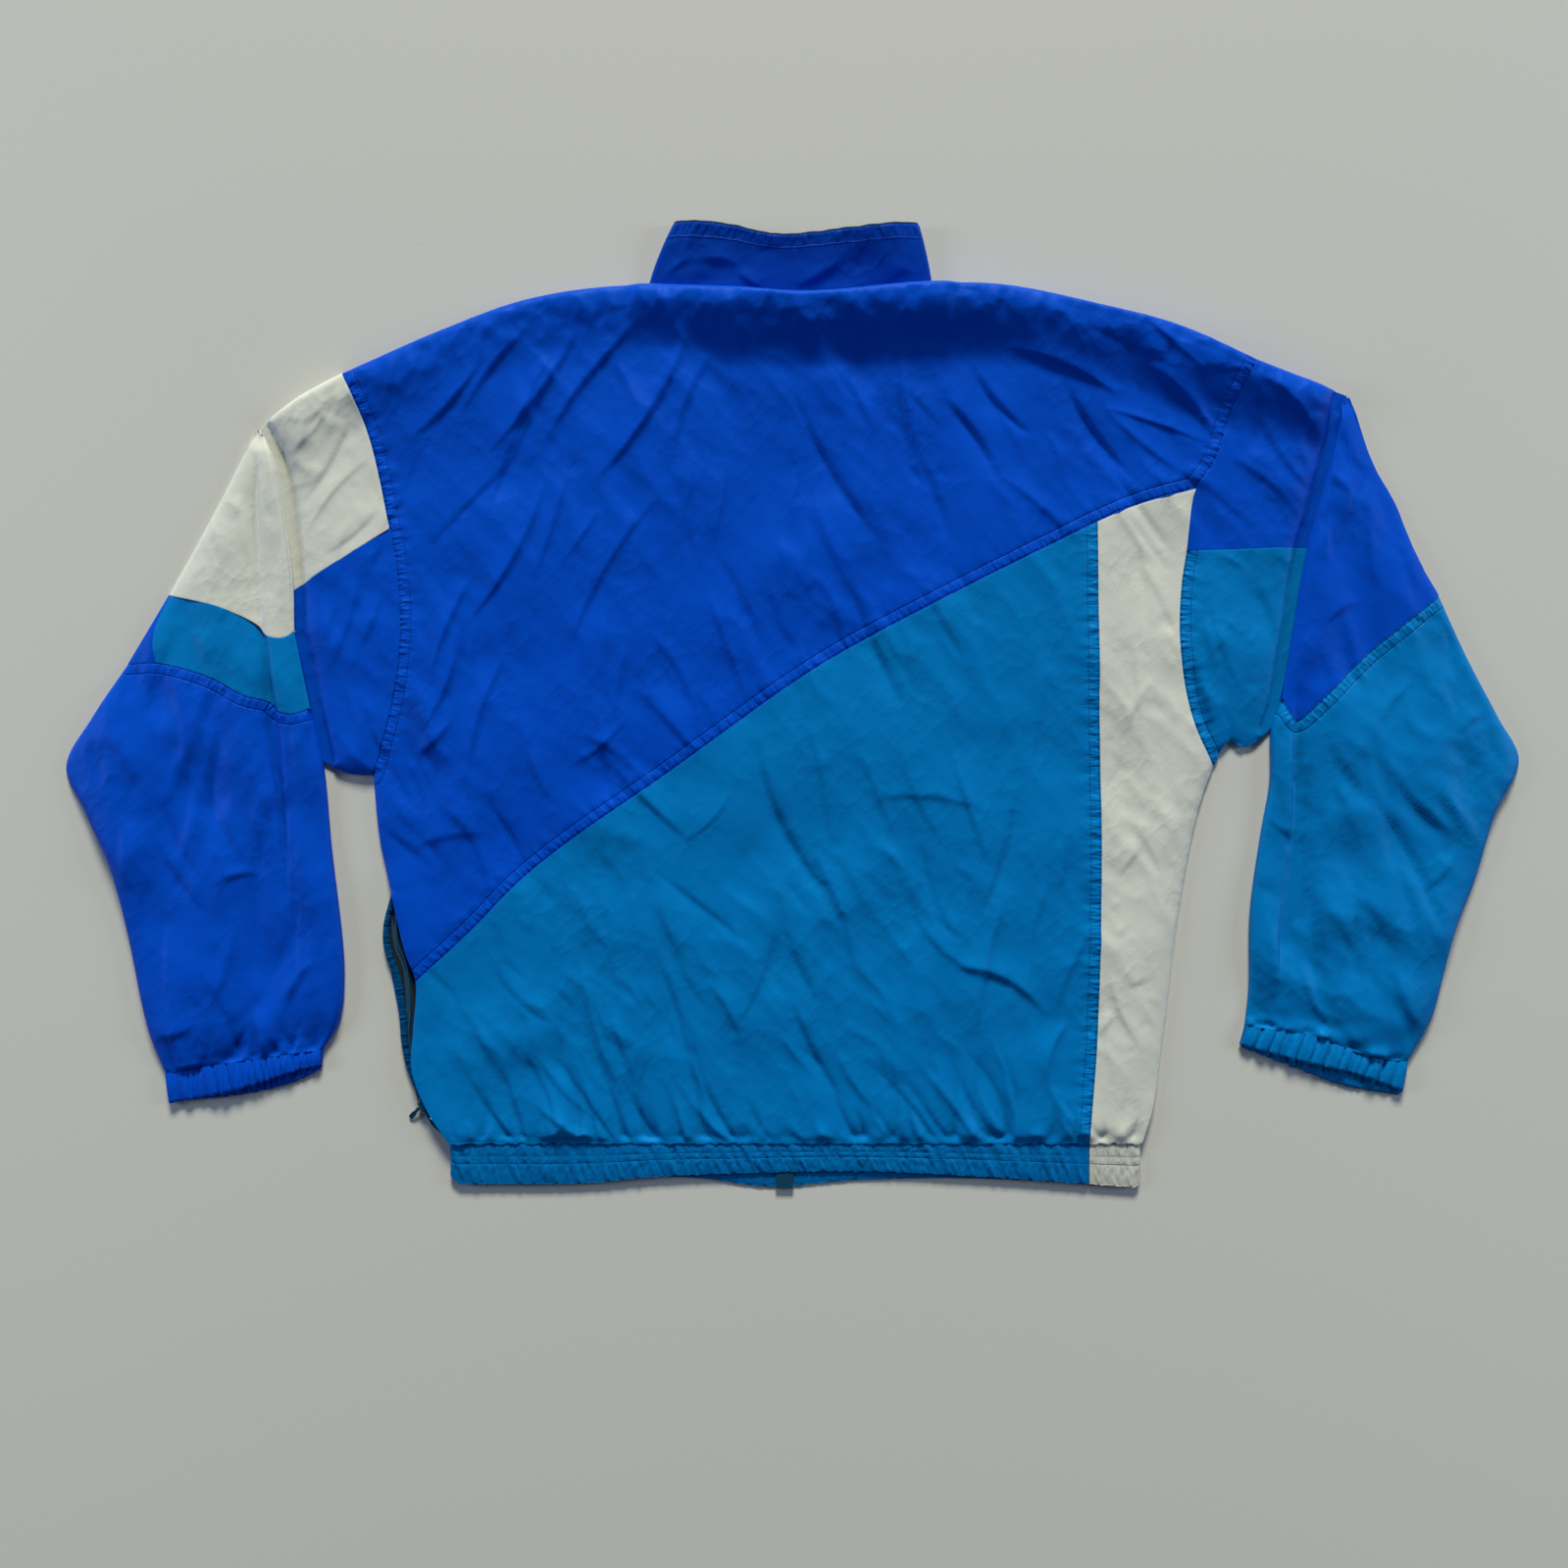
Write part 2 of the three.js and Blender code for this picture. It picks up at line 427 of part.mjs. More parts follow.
function sleeve(name, cut, fabrics, hole, underRow) {
  const rows = 16 - underRow;
  const over = patch(along(cut.capSeam, columnShares), along([cut.outer[cut.outer.length - 1], cut.edge[cut.edge.length - 1]], columnShares), along(cut.outer, rows), along(cut.edge, rows));
  const under = patch(along(cut.underSeam, 6), along(cut.topFromTuck, 6), along(cut.tuck, rows), hole.slice(underRow));
  const root = (foldReturn - backMid) / 2;
  const cap = over.map((row, j) => {
    const tuck = under[j][0];
    return [
      ...overPleat(row, cut.side),
      ...halfTurn(tuck.x - cut.side * root, tuck.y, backMid + root, root, cut.side),
      ...under[j].slice(1).map((p) => vector(p.x, p.y, backHeight(p.x, p.y))),
    ];
  });
  addPiece(`${name}_cap`, thickened(drawnIn(cap)), fabrics.cap);

  const across = [0, 0.1, 0.22, 0.45, 0.72, 1];
  const armTop = along([cut.underCorner, cut.underSeam[1]], across);
  const armSide = along([...cut.underEdge.slice(0, -1), cut.underCorner], underRow);
  const arm = patch(along(cut.underArm, across), armTop, armSide, hole.slice(0, underRow + 1));
  addPiece(`${name}_underarm`, thickened(raised(drawnIn(arm), backHeight)), fabrics.under);

  const start = cut.lowerSeam[0];
  const corner = cut.lowerSeam[cut.lowerSeam.length - 1];
  const bottom = join(along(cut.lowerSeam, columnShares), along([corner, cut.underArm[0]], 1), along(cut.underArm, 1));
  const outer = start.y < cut.outer[0].y ? join(along([start, cut.outer[0]], 2), along(cut.outer, 6)) : along(cut.outer, 8);
  const front = patch(bottom, along(cut.top, bottom.length - 1), outer, every(hole, 2));
  addPiece(`${name}_front`, thickened(raised(drawnIn(front), () => frontMid)), fabrics.front);

  if (!fabrics.stripe) return;
  const from = refined(along(cut.capSeam, columnShares), 2);
  const to = refined(along(cut.lowerSeam, columnShares), 2);
  const stripe = [0, 1 / 3, 2 / 3, 1].map((v) => {
    const row = overPleat(from.map((p, i) => p.clone().lerp(to[i], v)), cut.side);
    const last = row[row.length - 1];
    return [...row, vector(last.x + cut.side * 5, last.y, foldReturn)];
  });
  addPiece(`${name}_stripe`, thickened(drawnIn(stripe)), fabrics.stripe);
}

// A flattened tube: the grid is its upper side, and the lower side lies on the surface
function tube(grid, height, thickness, lowerGrid, lowerEvery) {
  const end = grid[0].length - 1;
  const bulge = 1.6;
  const ringRow = (inset) =>
    grid.map((row, j) => {
      const below = every(lowerGrid[j], lowerEvery);
      const drawn = (line, z) => line.map((p, i) => {
        const q = vector(p.x, p.y, z(p, i));
        if (i === 0) q.addScaledVector(flatStep(line[0], line[1]), bulge + inset);
        if (i === line.length - 1) q.addScaledVector(flatStep(line[i], line[i - 1]), bulge + inset);
        return q;
      });
      const top = drawn(row, (p, i) => height(p.x, p.y, i, j) - inset);
      const floor = drawn(below, () => inset);
      const middle = (a, b, base, towards) => {
        const q = base.clone().addScaledVector(flatStep(base, towards), inset);
        q.z = (a.z + b.z) / 2;
        return q;
      };
      return [
        ...top,
        middle(top[end], floor[floor.length - 1], row[end], row[end - 1]),
        ...reversed(floor),
        middle(top[0], floor[0], row[0], row[1]),
      ];
    });
  return closedSolid(ringRow(0), ringRow(thickness), true);
}

function lowerSleeve(name, cut, colour) {
  const rows = 13;
  const seamLine = refined(along(cut.lowerSeam, columnShares), 2);
  const columns = seamLine.length - 1;
  const cuffLine = along(cut.cuffSeam, columns);
  const grid = drawnIn(patch(cuffLine, seamLine, along(cut.lowerOuter, rows), along(cut.lowerInner, rows)));
  const top = (x, y, i) => {
    const inside = i > 0 && i < columns ? 1 : 0;
    const wave = inside * (i % 2 ? 2.4 : 0) * Math.exp(-distanceTo(cuffLine, x, y) / 30);
    return Math.max(wall * 2 + 0.9, armHeight(x, y) + wall / 2 + wave);
  };
  addPiece(`${name}_lower`, tube(grid, top, wall, grid, 2), colour);

  const cuffWall = 2;
  const opening = 3.2;
  const seam = refined(cuffLine, 2);
  const ends = (mouth) => [along([mouth[0], cut.cuffSeam[0]], 2), along([mouth[mouth.length - 1], cut.cuffSeam[cut.cuffSeam.length - 1]], 2)];
  const cuff = (mouth) => drawnIn(patch(along(mouth, 32), seam, ...ends(mouth)));
  const cuffTop = (x, y, i, j) => {
    const arch = Math.sin(Math.PI * (i / 32)) ** 0.5;
    const pleat = i > 0 && i < 32 && i % 2 ? 1.2 + 0.7 * Math.sin(i * 2.4) : 0;
    return cuffWall * 2 + 0.6 + opening * arch + pleat * (j === 1 ? 0.7 : 1);
  };
  addPiece(`${name}_cuff`, tube(cuff(cut.cuffMouth), cuffTop, cuffWall, cuff(cut.cuffMouthBelow), 4), colour);
}

// The height of a line above the X axis, at any x
const levelOf = (rows) => {
  const line = along(rows, 30);
  return (x) => {
    const next = Math.max(1, line.findIndex((p) => p.x >= x));
    const [a, b] = [line[next - 1], line[next]];
    return a.y + ((b.y - a.y) * (Math.min(b.x, Math.max(a.x, x)) - a.x)) / (b.x - a.x);
  };
};

// The hem band is elastic cloth folded round both sides, in three pieces
function hemBands() {
  const bandWall = 2.6;
  const low = bandWall / 2;
  const high = low + bandWall + seamGap;
  const radius = (high - low) / 2;
  const left = -258;
  const right = 263;
  const underEnd = 241; // where the white piece ends under the garment
  const zipEdge = chainWidth / 2 + tapeWidth;
  const backBottom = levelOf([{ x: -259, y: -361 }, { x: -155, y: -360 }, { x: -102, y: -355.3 }, { x: -51, y: -353 }, { x: 52, y: -351 }, { x: 141, y: -355 }, { x: 266, y: -364 }]);
  const frontBottom = levelOf([{ x: -259, y: -361 }, { x: -155, y: -360 }, { x: -102, y: -355.8 }, { x: -68, y: -357 }, { x: -20, y: -363 }, { x: 52, y: -358 }, { x: 141, y: -357 }, { x: 266, y: -364 }]);
  const band = (name, path, colour) => {
    const rows = [0, 0.5, 1].map((v) => path.map((p) => {
      const bottom = p.under ? frontBottom(p.x) : backBottom(p.x);
      return vector(p.x, bottom + (hemY - bottom) * v, p.z + (p.wave || 0) * (v === 0.5 ? 0.5 : 1));
    }));
    addPiece(name, thickened(drawnIn(rows), bandWall), colour);
  };
  const run = (from, to, count, z, under, waves) => Array.from({ length: count + 1 }, (_, i) => ({
    x: from + ((to - from) * i) / count, z, under, wave: waves && i % 2 ? 1.0 + 0.4 * Math.sin(i * 1.7) : 0,
  }));
  const turn = (x, side) => [-60, 0, 60].map((angle) => {
    const a = THREE.MathUtils.degToRad(angle);
    return { x: x + side * radius * Math.cos(a), z: (low + high) / 2 + radius * Math.sin(a) };
  });
  band("hem_band_left_and_back", [
    ...run(zipX - zipEdge, left + radius, 14, low, true), ...turn(left + radius, -1),
    ...run(left + radius, 225, hemGathers * 2, high, false, true),
  ], colours.teal);
  band("hem_band_side", [
    ...run(225, right - radius, 10, high, false, true), ...reversed(turn(right - radius, 1)),
    ...run(right - radius, underEnd, 1, low, true),
  ], colours.white);
  band("hem_band_front_right", run(zipX + zipEdge, underEnd, 12, low, true), colours.teal);
}

// The stand collar: one strip from the zip round the neck and back to the zip, laid flat
const collarTop = levelOf([{ x: -110, y: 362 }, { x: -88, y: 364 }, { x: -51, y: 361 }, { x: -11, y: 354 }, { x: 42, y: 358 }, { x: 95, y: 363 }, { x: 110, y: 362 }]);
const frontCollarTop = (x) => collarTop(x) - neckDrop * Math.max(0, 1 - (x / neckHalf) ** 2) ** 1.3;
function collar() {
  const collarWall = 2;
  const low = collarWall / 2;
  const zipEdge = chainWidth / 2 + tapeWidth;
  const rows = [0, 0.2, 0.4, 0.6, 0.8, 1].map((v) => {
    const left = -109.5 + 20.5 * v ** 1.5;
    const right = 106.5 - 11 * v ** 1.5;
    const high = low + collarWall + seamGap + 0.2 + 8 * v;
    const radius = (high - low) / 2;
    const front = (x) => vector(x, frontNeck(x) + 0.3 + (frontCollarTop(x) - frontNeck(x) - 0.3) * v, low);
    const back = (x, z) => vector(x, neckY + (collarTop(x) - neckY) * v, z);
    const turn = (x, side) => [-45, 0, 45].map((angle) => {
      const a = THREE.MathUtils.degToRad(angle);
      return back(x + side * radius * Math.cos(a), (low + high) / 2 + radius * Math.sin(a));
    });
    const frontRun = (from, to) => Array.from({ length: 7 }, (_, i) => front(from + ((to - from) * i) / 6));
    const backRun = Array.from({ length: 15 }, (_, i) => {
      const x = left + radius + ((right - left - radius * 2) * i) / 14;
      return back(x, high - 1.6 * v * Math.cos((x / 95) * Math.PI * 1.4));
    });
    return [
      ...frontRun(zipX - zipEdge, left + radius), ...turn(left + radius, -1), ...backRun,
      ...reversed(turn(right - radius, 1)), ...frontRun(right - radius, zipX + zipEdge),
    ];
  });
  addPiece("collar", thickened(drawnIn(rows), collarWall), colours.royal);
}

function box(x0, x1, y0, y1, z0, z1) {
  return new THREE.BoxGeometry(x1 - x0, y1 - y0, z1 - z0).translate((x0 + x1) / 2, (y0 + y1) / 2, (z0 + z1) / 2);
}

// A flat strip beside or along a straight line up the garment
function upStrip(x0, x1, y0, y1, count, z) {
  return Array.from({ length: count + 1 }, (_, j) => {
    const y = y0 + ((y1 - y0) * j) / count;
    return [vector(x0, y, z(y)), vector(x1, y, z(y))];
  });
}

// A pull tab: narrow at its hinge, round at the far end, pointing along -Y
function pullTab({ length, width, thickness }) {
  const neck = width * 0.32;
  const root = 0.35; // reaches this far behind the hinge line
  const shape = new THREE.Shape();
  shape.moveTo(-neck, root);
  shape.lineTo(-neck, -length * 0.35);
  shape.lineTo(-width / 2, -length * 0.5);
  shape.lineTo(-width / 2, -length + width / 2);
  shape.absarc(0, -length + width / 2, width / 2, Math.PI, Math.PI * 2, false);
  shape.lineTo(width / 2, -length * 0.5);
  shape.lineTo(neck, -length * 0.35);
  shape.lineTo(neck, root);
  shape.closePath();
  const geometry = new THREE.ExtrudeGeometry(shape, { depth: thickness, bevelEnabled: false, curveSegments: 5 });
  return geometry.translate(0, 0, -thickness / 2);
}

// The front zip runs under the garment, from its box at the hem to the collar's top
const zipSlider = { y: 298, length: 8, low: 1.2, high: 4 };
const frontTab = { length: 15, width: 4.6, thickness: 0.8 };
function frontZip() {
  const half = chainWidth / 2;
  const boxTop = -352;
  const tapeTop = frontCollarTop(zipX) - 1;
  const tape = (x0, x1) => thickened(upStrip(x0, x1, boxTop + seamGap, tapeTop, 2, () => 0.6), 1.2);
  addPiece("front_zip_tape_left", tape(zipX - half - tapeWidth + 0.15, zipX - half - 0.15), colours.zip);
  addPiece("front_zip_tape_right", tape(zipX + half + 0.15, zipX + half + tapeWidth - 0.15), colours.zip);
  const lift = (y) => 0.6 + 1.3 * smooth((y - (zipSlider.y - frontTab.length - 24)) / 18);
  addPiece("front_zip_chain", thickened(upStrip(zipX - half + 0.15, zipX + half - 0.15, boxTop + seamGap, zipSlider.y - seamGap, 36, lift), 1.2), colours.zip);
  addPiece("front_zip_slider", box(zipX - half + 0.3, zipX + half - 0.3, zipSlider.y, zipSlider.y + zipSlider.length, zipSlider.low, zipSlider.high), colours.zip, 0.4, 0.5);
  addPiece("front_zip_bottom_box", box(zipX - 6.6, zipX + 6.6, -364.3, boxTop, 0, 3.4), colours.zip, 0.4, 0.2);
  const tab = addPiece("front_zip_tab", pullTab(frontTab), colours.zip, 0.4, 0.5);
  tab.position.set(zipX, zipSlider.y + 2, 0.5);
}

// The open pocket in the wearer's left side seam
const pocketSlider = { x: -279.2, y: -302, angle: 26, low: 3.1, high: 5.4 };
const pocketTab = { length: 11, width: 3.8, thickness: 0.8, angle: -42, droop: 17, fromSlider: 3.7 };
function pocket() {
  const rows = 12;
  const ribbon = (name, rowsOfLine, from, width, z, thickness, colour) => {
    const line = along(rowsOfLine, rows);
    const inwards = (i) => {
      const step = flatStep(line[Math.max(0, i - 1)], line[Math.min(rows, i + 1)]);
      return vector(step.y, -step.x);
    };
    const grid = line.map((p, i) => [from, from + width].map((d) => {
      const q = p.clone().addScaledVector(inwards(i), d);
      q.z = z;
      return q;
    }));
    addPiece(name, thickened(grid.slice(1, rows), thickness), colour);
  };
  const onFront = wall + seamGap + 0.5;
  ribbon("pocket_zip_tape_front", pocketLip, 0.8, 4.4, onFront, 1, colours.zip);
  ribbon("pocket_bag", pocketLip, 6, 68, onFront, 1, colours.dark);
  ribbon("pocket_zip_tape_back", pocketBackEdge, 1, 5, onFront + 1.4, 1, colours.zip);
  const slider = addPiece("pocket_slider", box(-2.6, 2.6, -4, 4, pocketSlider.low, pocketSlider.high), colours.zip, 0.4, 0.5);
  slider.rotation.z = THREE.MathUtils.degToRad(pocketSlider.angle);
  slider.position.set(pocketSlider.x, pocketSlider.y, 0);
  const tab = addPiece("pocket_pull_tab", pullTab(pocketTab), colours.zip, 0.4, 0.5);
  const away = slider.rotation.z;
  tab.rotation.set(THREE.MathUtils.degToRad(pocketTab.droop), 0, THREE.MathUtils.degToRad(pocketTab.angle), "ZXY");
  tab.position.set(pocketSlider.x - pocketTab.fromSlider * Math.cos(away), pocketSlider.y - pocketTab.fromSlider * Math.sin(away), 4.2);
}

backPanels();
frontPanels();
sleeve("sleeve_left", sleeves.left, { cap: colours.white, under: colours.royal, front: colours.royal, stripe: colours.teal }, holeLeft, underLeft);
sleeve("sleeve_right", sleeves.right, { cap: colours.royal, under: colours.teal, front: colours.royal }, holeRight, underRight);
lowerSleeve("sleeve_left", sleeves.left, colours.royal);
lowerSleeve("sleeve_right", sleeves.right, colours.teal);
hemBands();
collar();
frontZip();
pocket();

// The frame's origin is the middle of the box's base
const bounds = new THREE.Box3().setFromObject(jacket);
jacket.position.set(-(bounds.min.x + bounds.max.x) / 2, -(bounds.min.y + bounds.max.y) / 2, -bounds.min.z);

export default jacket;
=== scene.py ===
# A nylon windbreaker laid flat on its front, seen from above with its back up.
# Lengths are millimetres until a mesh is made, where mm turns them to metres.
import math

import bpy
import numpy as np
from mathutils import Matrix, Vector


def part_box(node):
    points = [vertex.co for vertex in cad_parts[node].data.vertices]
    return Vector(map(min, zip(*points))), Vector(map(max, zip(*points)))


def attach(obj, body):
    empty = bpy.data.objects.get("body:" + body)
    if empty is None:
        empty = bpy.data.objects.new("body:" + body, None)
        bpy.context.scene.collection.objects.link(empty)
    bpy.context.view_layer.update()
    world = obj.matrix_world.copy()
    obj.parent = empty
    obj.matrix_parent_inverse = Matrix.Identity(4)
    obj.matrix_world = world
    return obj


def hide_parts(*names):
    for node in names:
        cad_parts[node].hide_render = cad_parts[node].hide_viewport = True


mm = 0.001
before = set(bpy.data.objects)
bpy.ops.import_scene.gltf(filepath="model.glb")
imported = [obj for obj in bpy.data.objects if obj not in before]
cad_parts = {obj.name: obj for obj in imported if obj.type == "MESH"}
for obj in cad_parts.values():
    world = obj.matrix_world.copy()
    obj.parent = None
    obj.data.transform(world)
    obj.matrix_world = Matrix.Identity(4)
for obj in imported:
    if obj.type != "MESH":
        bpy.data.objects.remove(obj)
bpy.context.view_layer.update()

# The CAD group was moved so that its box is centred: read that shift back from the zip slider.
zipLine = {"x": -5.5, "sliderY": 298.0}
sliderBox = np.array(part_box("front_zip_slider")) / mm
shift = np.array([sliderBox[:, 0].mean() - zipLine["x"], sliderBox[0, 1] - zipLine["sliderY"]])
print("frame loaded, shift", shift.round(3))


# Outlines
hemY = -328.5
layers = {
    "wall": 1.5,  # shell and lining together
    "front": 0.75,  # centre height of the layer on the surface
    "back": 2.55,  # lowest centre height of the layer above it
    "foldTop": 7.4,  # the pleat's upper side
    "foldReturn": 4.35,  # the cloth that turns under the pleat
}
outlines = {
    "shoulder": [(-340, 253), (-262, 287), (-200, 309), (-130, 319), (-50, 316), (10, 312), (100, 319),
                 (159, 318), (229, 304), (290, 288), (349, 262)],
    "armholeLeft": [(-317, -51), (-303, 0), (-296, 50), (-299, 108), (-305, 138), (-318, 198), (-330, 232),
                    (-340, 253)],
    "armholeRight": [(319, -45), (303, -10), (293, 45), (294, 90), (298, 117), (305, 165), (318, 183),
                     (333, 228), (349, 262)],
    "sideLeft": [(-303, -139), (-312, -100), (-317, -51)],
    "pocketBack": [(-259, hemY), (-274, -307), (-287, -275), (-286, -245), (-284, -208), (-292, -185),
                   (-303, -139)],
    "pocketLip": [(-259, hemY), (-273, -317), (-289, -284), (-297, -245), (-308, -185), (-310, -165),
                  (-303, -139)],
    "sideRight": [(265, hemY), (273, -303), (282, -239), (291, -165), (302, -101), (311, -66), (319, -45)],
    "diagonal": [(-284, -208), (-241, -168), (-197, -124), (-88, -46), (21, 31), (111, 80), (231, 140)],
    "overWhite": [(231, 140), (259, 152), (305, 165)],
    "upright": [(225, hemY), (231, -251), (234, -118), (232, 20), (231, 140)],
}
sleeveLeft = {
    "side": -1,
    "outer": [(-472, 85), (-449, 126), (-425, 171), (-406, 210)],
    "edge": [(-376, 57), (-377, 95), (-384, 150), (-391, 186), (-401, 208)],
    "tuck": [(-389, 81), (-391, 120), (-397, 175), (-404, 210)],
    "edgeBelow": [(-355, -41), (-364, -1), (-369, 31), (-376, 57)],
    "top": [(-406, 210), (-373, 235), (-340, 253)],
    "topFromTuck": [(-404, 210), (-373, 235), (-340, 253)],
    "capSeam": [(-470, 84.6), (-432, 75.5), (-403, 62), (-396, 54), (-384, 52.3), (-376, 57)],
    "underSeam": [(-389, 81), (-305, 138)],
    "underCorner": (-380, 87.1),
    "underEdge": [(-355, -41), (-364, -1), (-371, 31), (-378, 57), (-380, 87.1)],
    "underArm": [(-355, -41), (-336, -50), (-317, -51)],
    "stripeEnd": [(-480, 33.4), (-482.5, 48.8), (-480, 62.8), (-470, 84.6)],
    "lowerSeam": [(-503, 33), (-478, 33.5), (-440, 23), (-413, 9), (-395, 4), (-389, -2), (-377, -5), (-364, -1)],
    "lowerOuter": [(-475, -277), (-488, -244), (-504, -170), (-516, -125), (-535, -81), (-550, -45),
                   (-530, -7), (-503, 33)],
    "lowerInner": [(-355, -259), (-343, -238), (-339, -200), (-349, -102), (-355, -41), (-364, -1)],
    "cuffSeam": [(-475, -277), (-434, -270), (-355, -259)],
    "cuffMouth": [(-472, -300), (-421, -290), (-377, -276), (-356, -271)],
    "cuffMouthBelow": [(-470, -298), (-421, -294), (-377, -284), (-357, -274)],
}
sleeveRight = {
    "side": 1,
    "outer": [(490, 85), (475, 111), (456, 156), (440, 185), (422, 236)],
    "edge": [(370, 6), (379, 60), (389, 119), (400, 160), (409, 193), (417, 234)],
    "tuck": [(397, 121), (405, 152), (412, 190), (420, 236)],
    "edgeBelow": [(363, -16), (370, 6)],
    "top": [(422, 236), (385, 249), (349, 262)],
    "topFromTuck": [(420, 236), (385, 249), (349, 262)],
    "capSeam": [(490, 85), (437, 42), (407, 13), (384.5, -9), (381, -11), (378.5, -8.5), (370, 6)],
    "underSeam": [(397, 121), (298, 117)],
    "underCorner": (391.5, 120.8),
    "underEdge": [(363, -16), (369.5, 5), (375, 28), (381, 60), (391.5, 120.8)],
    "underArm": [(363, -16), (350, -27), (341, -30), (331, -25.5), (319, -45)],
    "lowerSeam": [(490, 85), (437, 42), (407, 13), (384.5, -9), (381, -11), (378.5, -8.5), (370, 6)],
    "lowerOuter": [(467, -268), (485, -235), (495, -199), (504, -166), (518, -130), (533, -81), (551, -40),
                   (535, -7), (512, 37), (490, 85)],
    "lowerInner": [(343, -241), (346, -214), (347, -155), (355, -96), (362, -55), (363, -16), (370, 6)],
    "cuffSeam": [(467, -268), (440, -265), (392, -248), (343, -241)],
    "cuffMouth": [(463, -291), (428, -278), (381, -267), (339, -255)],
    "cuffMouthBelow": [(461, -294), (416, -286), (381, -273), (341, -258)],
}


def smoothLine(points, shares):
    # A centripetal Catmull-Rom curve through the points, read at shares of its length.
    p = np.array(points, float)
    if len(p) == 2:
        dense = p
    else:
        p = np.vstack([2 * p[0] - p[1], p, 2 * p[-1] - p[-2]])
        t = np.linspace(0, 1, 40, endpoint=False)[:, None]
        runs = []
        for a, b, c, d in zip(p[:-3], p[1:-2], p[2:-1], p[3:]):
            ab, bc, cd = (math.sqrt(math.dist(u, v)) for u, v in ((a, b), (b, c), (c, d)))
            m1 = ((b - a) / ab - (c - a) / (ab + bc) + (c - b) / bc) * bc
            m2 = ((c - b) / bc - (d - b) / (bc + cd) + (d - c) / cd) * bc
            runs.append(b + m1 * t + (3 * (c - b) - 2 * m1 - m2) * t**2 + (2 * (b - c) + m1 + m2) * t**3)
        dense = np.vstack(runs + [p[-2:-1]])
    steps = np.hypot(*np.diff(dense, axis=0).T)
    run = np.concatenate([[0], np.cumsum(steps)]) / steps.sum()
    return np.stack([np.interp(shares, run, dense[:, k]) for k in (0, 1)], axis=1)


def evenly(points, count):
    return smoothLine(points, np.linspace(0, 1, count + 1))


def joined(*lines):
    return np.vstack([lines[0]] + [line[1:] for line in lines[1:]])


def resampled(line, count):
    # The same polyline with count equal steps.
    steps = np.hypot(*np.diff(line, axis=0).T)
    run = np.concatenate([[0], np.cumsum(steps)])
    at = np.linspace(0, run[-1], count + 1)
    return np.stack([np.interp(at, run, line[:, k]) for k in (0, 1)], axis=1)


def cutAt(line, x, y):
    # Splits a polyline at its point nearest to x, y.
    i = int(np.argmin(np.hypot(line[:, 0] - x, line[:, 1] - y)))
    return line[: i + 1], line[i:]


def lineDistance(line, x, y):
    # Distance from each x, y to the polyline, and how far along it the nearest place is.
    best = np.full(x.shape, 1e9)
    along = np.zeros(x.shape)
    run = 0.0
    for (ax, ay), (bx, by) in zip(line[:-1], line[1:]):
        dx, dy = bx - ax, by - ay
        size = math.hypot(dx, dy)
        t = np.clip(((x - ax) * dx + (y - ay) * dy) / (size * size + 1e-12), 0, 1)
        d = np.hypot(x - ax - t * dx, y - ay - t * dy)
        nearer = d < best
        best = np.where(nearer, d, best)
        along = np.where(nearer, run + t * size, along)
        run += size
    return best, along


def nearest(group, x, y):
    return np.min([lineDistance(line, x, y)[0] for line in group], axis=0)


def patch(bottom, top, left, right):
    # Coons patch: the two ruled surfaces between opposite lines, less the one between the corners.
    u = np.linspace(0, 1, len(bottom))[None, :, None]
    v = np.linspace(0, 1, len(left))[:, None, None]
    ruled = (1 - v) * bottom[None] + v * top[None] + (1 - u) * left[:, None] + u * right[:, None]
    corners = ((1 - u) * (1 - v) * bottom[0] + u * (1 - v) * bottom[-1]
               + (1 - u) * v * top[0] + u * v * top[-1])
    return ruled - corners


def smooth(t):
    c = np.clip(t, 0, 1)
    return c * c * (3 - 2 * c)


def rounded(distance, radius):
    c = np.clip(distance / radius, 0, 1)
    return np.sqrt(c * (2 - c))


def hump(distance, peak):
    d = np.maximum(distance, 0) / peak
    return d * np.exp(1 - d)


shoulder = evenly(outlines["shoulder"], 60)
holeLeft = evenly(outlines["armholeLeft"], 48)
holeRight = evenly(outlines["armholeRight"], 48)
underHoleLeft, capHoleLeft = cutAt(holeLeft, -305, 138)
underHoleRight, capHoleRight = cutAt(holeRight, 298, 117)
whiteHoleRight, upperHoleRight = cutAt(holeRight, 305, 165)
both = (sleeveLeft, sleeveRight)
rims = {
    "top": joined(evenly(sleeveLeft["top"], 10), shoulder, evenly(sleeveRight["top"], 10)[::-1]),
    "sides": [evenly(outlines["sideLeft"], 8), evenly(sleeveLeft["underArm"], 5),
              evenly(outlines["sideRight"], 16), evenly(sleeveRight["underArm"], 5)],
    "pleats": [evenly(cut[k], 8) for cut in both for k in ("edge", "tuck", "edgeBelow", "underEdge")],
    "pocket": evenly(outlines["pocketBack"], 16),
    "outers": [joined(evenly(sleeveLeft["lowerOuter"], 24), np.array([[-503, 33], [-472, 85.0]]),
                      evenly(sleeveLeft["outer"], 8)),
               joined(evenly(sleeveRight["lowerOuter"], 24), evenly(sleeveRight["outer"], 8))],
    "inners": [evenly(cut["lowerInner"], 24) for cut in both],
    "cuffs": [evenly(cut["cuffSeam"], 8) for cut in both],
}


